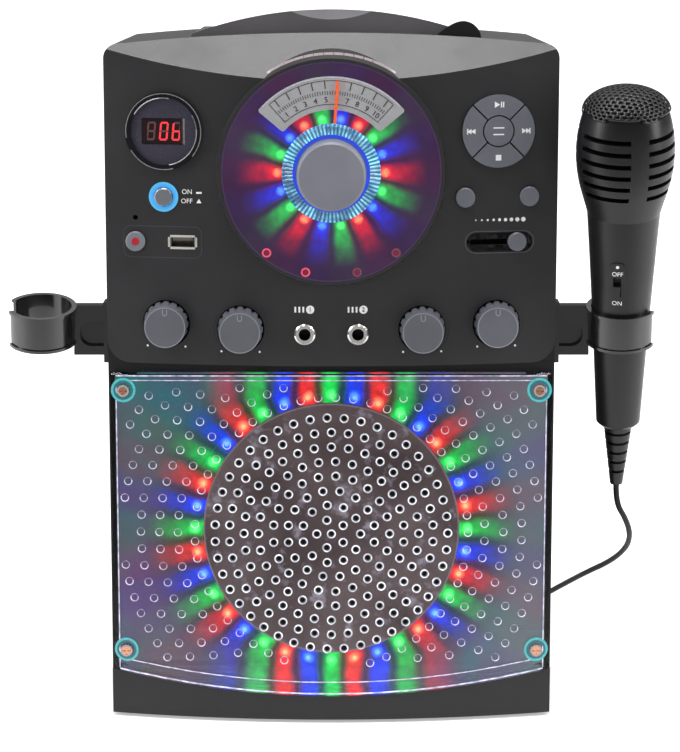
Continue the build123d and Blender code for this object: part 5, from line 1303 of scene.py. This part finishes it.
    def corner_pads(self, backing):
        """Lit plates behind the clear cover's corners, round its screw posts."""
        low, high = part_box("grille_cover")
        edge = 0.0022
        bm = bmesh.new()
        for x, z in COVER_SCREWS:
            bar(bm, x, z, 0.019, 0.019)
        for v in bm.verts:
            v.co.x = max(low.x + edge, min(high.x - edge, v.co.x))
            v.co.z = max(low.z + edge, min(high.z - edge, v.co.z))
        lay_flat(bm, -0.0923, 0.0001)
        finish_piece(bm, "corner_backing", backing, smooth=False)


class KARAOKE_OT_cover(bpy.types.Operator):
    """The clear cover, the rims of its sound holes and its corner screws"""

    bl_idname = "karaoke.cover"
    bl_label = "Clear cover"

    def execute(self, context):
        material, wires, shader = empty_material("Clear cover")
        finish = {
            "Roughness": wires.clouds(wires.place(), 30.0, 3.0, 0.3, 0.7, 0.02, 0.07),
            "Base Color": (0.96, 0.98, 1.0),
            "Transmission Weight": 1.0,
            "IOR": 1.3,
        }
        wires.into(shader, finish)
        dress(material, "grille_cover")
        dress(brushed_metal("Copper screw", (0.75, 0.36, 0.22), 0.25), "screws")
        skin = Skin("grille_cover")
        self.sound_holes(skin)
        self.dimples(skin)
        self.corner_halos(skin)
        self.edge_lines(skin)
        return {"FINISHED"}

    def lit_edge(self, name, dull, bright, strength):
        """Painted light on clear plastic edges: a patchy glow for the light they catch."""
        material, wires, shader = empty_material(name)
        patch = wires.clouds(wires.place(), 260.0, 2.0, 0.35, 0.65, 0.35, 1.0)
        tone = wires.mix(patch, dull, bright)
        finish = {
            "Base Color": tone,
            "Emission Color": wires.scaled(tone, patch),
            "Emission Strength": strength,
            "Roughness": 0.2,
        }
        wires.into(shader, finish)
        return material

    def sound_holes(self, skin):
        """A raised rim that glows with painted light and a painted shadow in the middle of each sound hole over the
        speaker's disc, ring by ring.
        """
        places = [(0.0, SPEAKER_CENTRE.z)]
        for ring in range(1, 9):
            radius = ring * 0.0082
            count = round(tau * radius / 0.0096)
            for n in range(count):
                angle = tau * n / count + (ring % 2) * pi / count
                places.append((radius * cos(angle), SPEAKER_CENTRE.z + radius * sin(angle)))
        sizes = looks().sizes
        rims, shadows = bmesh.new(), bmesh.new()
        for x, z in places:
            depth = skin.depth(x, z)
            self.tube_ring(rims, Vector((x, depth, z)), sizes.rim_radius, sizes.rim_tube, 4, 14)
            for v in dot(shadows, x, z, 0.00135, 10):
                v.co.y = depth + 0.0004
        edge = self.lit_edge("Lit rim of clear plastic", (0.30, 0.31, 0.35), (0.80, 0.82, 0.88), 0.55)
        finish_piece(rims, "hole_rims", edge)
        raise_faces(shadows, (0, -0.00005, 0))
        dark = moulded("Hole shadow", (0.003, 0.003, 0.004), 0.6, Specular_IOR_Level=0.1)
        finish_piece(shadows, "hole_shadows", dark, smooth=False)

    def dimples(self, skin):
        """The shallow dimples outside the speaker's disc, each with a painted highlight in a lit crescent and a faint
        painted glow round its full edge.
        """
        crescents, circles = bmesh.new(), bmesh.new()
        for ring, radius in enumerate((0.077, 0.0865, 0.097, 0.1075, 0.118, 0.1285, 0.139)):
            count = round(tau * radius / 0.0098)
            for n in range(count):
                angle = tau * (n + 0.5 * (ring % 2)) / count
                x, z = radius * cos(angle), SPEAKER_CENTRE.z + radius * sin(angle)
                clear = all((x - a) ** 2 + (z - b) ** 2 > 0.0125**2 for a, b in COVER_SCREWS)
                if abs(x) < 0.1165 and 0.035 < z < 0.1925 and clear:
                    centre = Vector((x, skin.depth(x, z), z))
                    self.crescent(crescents, centre)
                    self.tube_ring(circles, centre, 0.0022, 0.0002, 3, 12)
        bright = self.lit_edge("Lit dimple edge", (0.26, 0.25, 0.33), (0.62, 0.60, 0.72), 0.7)
        finish_piece(crescents, "cover_dimples", bright)
        faint = self.lit_edge("Faint dimple edge light", (0.12, 0.10, 0.16), (0.30, 0.27, 0.38), 0.6)
        finish_piece(circles, "cover_dimple_rings", faint)

    def tube_ring(self, bm, centre, radius, tube, sides, steps):
        """A closed ring of thin tube that faces the front."""
        place = Matrix.Translation(centre + Vector((radius, 0, 0))) @ Matrix.Rotation(pi / 4, 4, "Z")
        ring = bmesh.ops.create_circle(bm, cap_ends=False, radius=tube, segments=sides, matrix=place)["verts"]
        edges = dict.fromkeys(e for v in ring for e in v.link_edges)
        bmesh.ops.spin(
            bm, geom=[*ring, *edges], cent=centre, axis=(0, 1, 0), angle=tau, steps=steps, use_merge=True
        )

    def crescent(self, bm, centre):
        """An open, U-shaped rim of thin tube, closed at its ends."""
        place = Matrix.Translation(centre) @ Matrix.Rotation(radians(70), 4, "Y")
        place = place @ Matrix.Translation((0, 0, 0.0021)) @ Matrix.Rotation(pi / 2, 4, "Y")
        place = place @ Matrix.Rotation(pi / 4, 4, "Z")
        ring = bmesh.ops.create_circle(bm, cap_ends=True, radius=0.0003, segments=4, matrix=place)["verts"]
        edges = dict.fromkeys(e for v in ring for e in v.link_edges)
        faces = dict.fromkeys(f for v in ring for f in v.link_faces)
        bmesh.ops.spin(
            bm, geom=[*ring, *edges, *faces], cent=centre, axis=(0, 1, 0), angle=radians(220), steps=8
        )

    def corner_halos(self, skin):
        """Painted aqua light in the screw posts: an outer ring, a dim ring within it, and a painted highlight on the
        screw's pale rim.
        """
        for title, inner, outer, steps, surface, depth, colour, power, slot in (
            ("screw_halos", 0.0056, 0.0069, 28, skin, 0.0002, (0.10, 0.72, 0.76), 0.75, "clear_cover"),
            ("screw_posts", 0.0043, 0.0056, 28, skin, 0.0002, (0.03, 0.26, 0.32), 0.6, "clear_cover"),
            ("screw_rim_highlights", 0.0024, 0.0033, 24, Skin("screws"), 0.0001, (0.62, 0.66, 0.70), 0.6, "copper_screw"),
        ):
            bm = bmesh.new()
            for x, z in COVER_SCREWS:
                hoop(bm, x, z, inner, outer, steps)
            lay_on(bm, surface, depth)
            finish_piece(bm, title, glowing(title.replace("_", " ").capitalize(), colour, power))

    def foot_of(self, skin, x, low, high):
        """Height of the cover's arched bottom edge at x."""
        for step in range(200):
            z = low + (high - low) * step / 1000
            if skin.ahead(x, z) is not None:
                return z
        return low

    def edge_lines(self, skin):
        """Light that runs along the cut edges of the cover."""
        low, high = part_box("grille_cover")
        half = high.x - 0.0030
        upper = high.z - 0.0042
        bm = bmesh.new()
        for z, thick in ((high.z - 0.0016, 0.0007), (upper, 0.0005)):
            bar(bm, 0, z, 2 * half, thick, cuts=60)
        cuts = 48
        width = 2 * half / cuts
        feet = [self.foot_of(skin, -half + width * n, low.z, high.z) for n in range(cuts + 1)]
        for rise, thick in ((0.0012, 0.0008), (0.0078, 0.0005)):
            for n in range(cuts):
                x = -half + width * (n + 0.5)
                for v in bar(bm, x, 0, width, thick):
                    v.co.z += rise + (feet[n] if v.co.x < x else feet[n + 1])
        foot, runs = max(feet) + 0.002, 24
        tall = (upper - foot) / runs
        for x in (-half, half):
            for step in range(runs):
                bar(bm, x, foot + tall * (step + 0.5), 0.0006, tall)
        lay_on(bm, skin, 0.0001)
        light = self.lit_edge("Edge light", (0.16, 0.22, 0.28), (0.60, 0.56, 0.72), 0.7)
        finish_piece(bm, "cover_edge_lines", light, smooth=False)


class KARAOKE_OT_microphone(bpy.types.Operator):
    """The microphone's finishes, mesh dome and switch marks"""

    bl_idname = "karaoke.microphone"
    bl_label = "Microphone"

    def execute(self, context):
        handle = moulded("Microphone plastic", (0.007, 0.007, 0.008), 0.32, 1500.0, Specular_IOR_Level=0.4)
        dress(handle, "mic_body")
        dress(moulded("Switch plastic", (0.006, 0.006, 0.006), 0.3), "mic_switch")
        dress(moulded("Foam under the mesh", (0.004, 0.004, 0.004), 0.95, 900.0, 0.0003), "mic_grille")
        dress(moulded("Plug rubber", (0.012, 0.012, 0.013), 0.4), "mic_plug")
        self.mesh_dome()
        self.head_lining()
        self.switch_marks()
        return {"FINISHED"}

    def head_lining(self):
        """Black foam behind the slots of the head shell."""
        wall = 0.0008
        profile = (
            (0.0198, 0.0760),
            (0.0217, 0.0830),
            (0.0233, 0.0920),
            (0.0240, 0.1020),
            (0.0235, 0.1120),
            (0.0225, 0.1190),
        )
        bm = bmesh.new()
        corners = [bm.verts.new((radius, 0, height)) for radius, height in profile]
        corners += [bm.verts.new((radius - wall, 0, height)) for radius, height in reversed(profile)]
        edges = [bm.edges.new(pair) for pair in zip(corners, corners[1:] + corners[:1])]
        bmesh.ops.spin(bm, geom=corners + edges, cent=(0, 0, 0), axis=(0, 0, 1), angle=tau, steps=48, use_merge=True)
        bmesh.ops.transform(bm, matrix=mic_matrix(), verts=bm.verts)
        foam = moulded("Black foam", (0.002, 0.002, 0.002), 0.95, 800.0, Specular_IOR_Level=0.05)
        finish_piece(bm, "head_lining", foam, "microphone")

    def switch_marks(self):
        """A dot, OFF and ON by the switch, wrapped on the handle."""
        bm = bmesh.new()
        dot(bm, 0, 0.0412, 0.0009, 14)
        write(bm, "OFF", 0, 0.0368, 0.0036)
        write(bm, "ON", 0, 0.0192, 0.0036)
        bmesh.ops.remove_doubles(bm, verts=bm.verts, dist=SAME_CORNER)
        raised = set(raise_faces(bm, (0, 0, 0)))
        skin = Skin("mic_body")
        place = mic_matrix() @ Matrix.Rotation(radians(-14), 4, "Z")
        inward = place.to_3x3() @ Vector((0, 1, 0))
        for v in bm.verts:
            found = skin.hit(place @ Vector((v.co.x, -0.06, v.co.z)), inward)
            v.co = found[0] - (0.00012 if v in raised else MARK_GAP) * inward
        ink = moulded("Microphone ink", looks().colours.print_white, 0.5, smudge=0.2)
        finish_piece(bm, "mic_marks", ink, "microphone", smooth=False)

    def mesh_dome(self):
        """Perforated steel over the top: an icosphere's corners become round holes."""
        bm = bmesh.new()
        bmesh.ops.create_icosphere(bm, subdivisions=looks().sizes.mesh_pitch, radius=1.0)
        bmesh.ops.delete(bm, geom=[v for v in bm.verts if v.co.z < 0.0], context="VERTS")
        for v in bm.verts:
            v.co = Vector((v.co.x * 0.0240, v.co.y * 0.0240, v.co.z * 0.0130))
        made = bmesh.ops.bevel(
            bm,
            geom=bm.verts[:] + bm.edges[:],
            offset=36.0,
            offset_type="PERCENT",
            affect="VERTICES",
            segments=1,
            profile=0.5,
            material=-1,
        )
        holes = [f for f in made["faces"] if f.is_valid and len(f.verts) in (5, 6)]
        bmesh.ops.delete(bm, geom=holes, context="FACES")
        bmesh.ops.transform(bm, matrix=mic_matrix() @ Matrix.Translation((0, 0, 0.125)), verts=bm.verts)
        steel = moulded("Mesh steel", (0.05, 0.05, 0.052), 0.28, Metallic=0.8)
        piece = finish_piece(bm, "mic_mesh", steel, "microphone")
        wall = piece.modifiers.new("Wall", "SOLIDIFY")
        wall.thickness = 0.0004
        wall.offset = 1.0


class KARAOKE_OT_inside(bpy.types.Operator):
    """Finishes of the disc well, the drive and the rear sockets"""

    bl_idname = "karaoke.inside"
    bl_label = "Disc drive and rear"

    def execute(self, context):
        dress(moulded("Tray plastic", (0.02, 0.02, 0.021), 0.5), "disc_tray", "disc_clamp")
        drive = moulded("Drive plastic", (0.35, 0.35, 0.33), 0.45)
        dress(drive, "sled_gear", "motor_pinion", "pickup_sled", "disc_spindle")
        dress(brushed_metal("Drive steel", (0.55, 0.56, 0.58), 0.3), "drive_plate", "guide_rods", "drive_motors")
        dress(brushed_metal("Rear jacks metal", (0.6, 0.6, 0.6), 0.3), "rear_jacks")
        return {"FINISHED"}


class KARAOKE_PT_looks(bpy.types.Panel):
    """Lists the pieces of the machine's looks"""

    bl_label = "Karaoke machine"
    bl_idname = "KARAOKE_PT_looks"
    bl_space_type = "VIEW_3D"
    bl_region_type = "UI"
    bl_category = "Karaoke"

    def draw(self, context):
        for operator in OPERATORS:
            self.layout.operator(operator.bl_idname)


OPERATORS = (
    KARAOKE_OT_stage,
    KARAOKE_OT_cord,
    KARAOKE_OT_housing,
    KARAOKE_OT_window,
    KARAOKE_OT_display,
    KARAOKE_OT_controls,
    KARAOKE_OT_speaker,
    KARAOKE_OT_cover,
    KARAOKE_OT_microphone,
    KARAOKE_OT_inside,
)
CLASSES = (KaraokeColours, KaraokeSizes, KaraokeStage, KaraokeLooks, *OPERATORS, KARAOKE_PT_looks)


def register():
    for each in CLASSES:
        bpy.utils.register_class(each)
    bpy.types.Scene.karaoke_looks = PointerProperty(type=KaraokeLooks)


def unregister():
    del bpy.types.Scene.karaoke_looks
    for each in reversed(CLASSES):
        bpy.utils.unregister_class(each)


def main():
    """Builds every piece in order."""
    register()
    bpy.ops.karaoke.stage()
    bpy.ops.karaoke.cord()
    bpy.ops.karaoke.housing()
    bpy.ops.karaoke.window()
    bpy.ops.karaoke.display()
    bpy.ops.karaoke.controls()
    bpy.ops.karaoke.speaker()
    bpy.ops.karaoke.cover()
    bpy.ops.karaoke.microphone()
    bpy.ops.karaoke.inside()


if __name__ == "__main__":
    main()
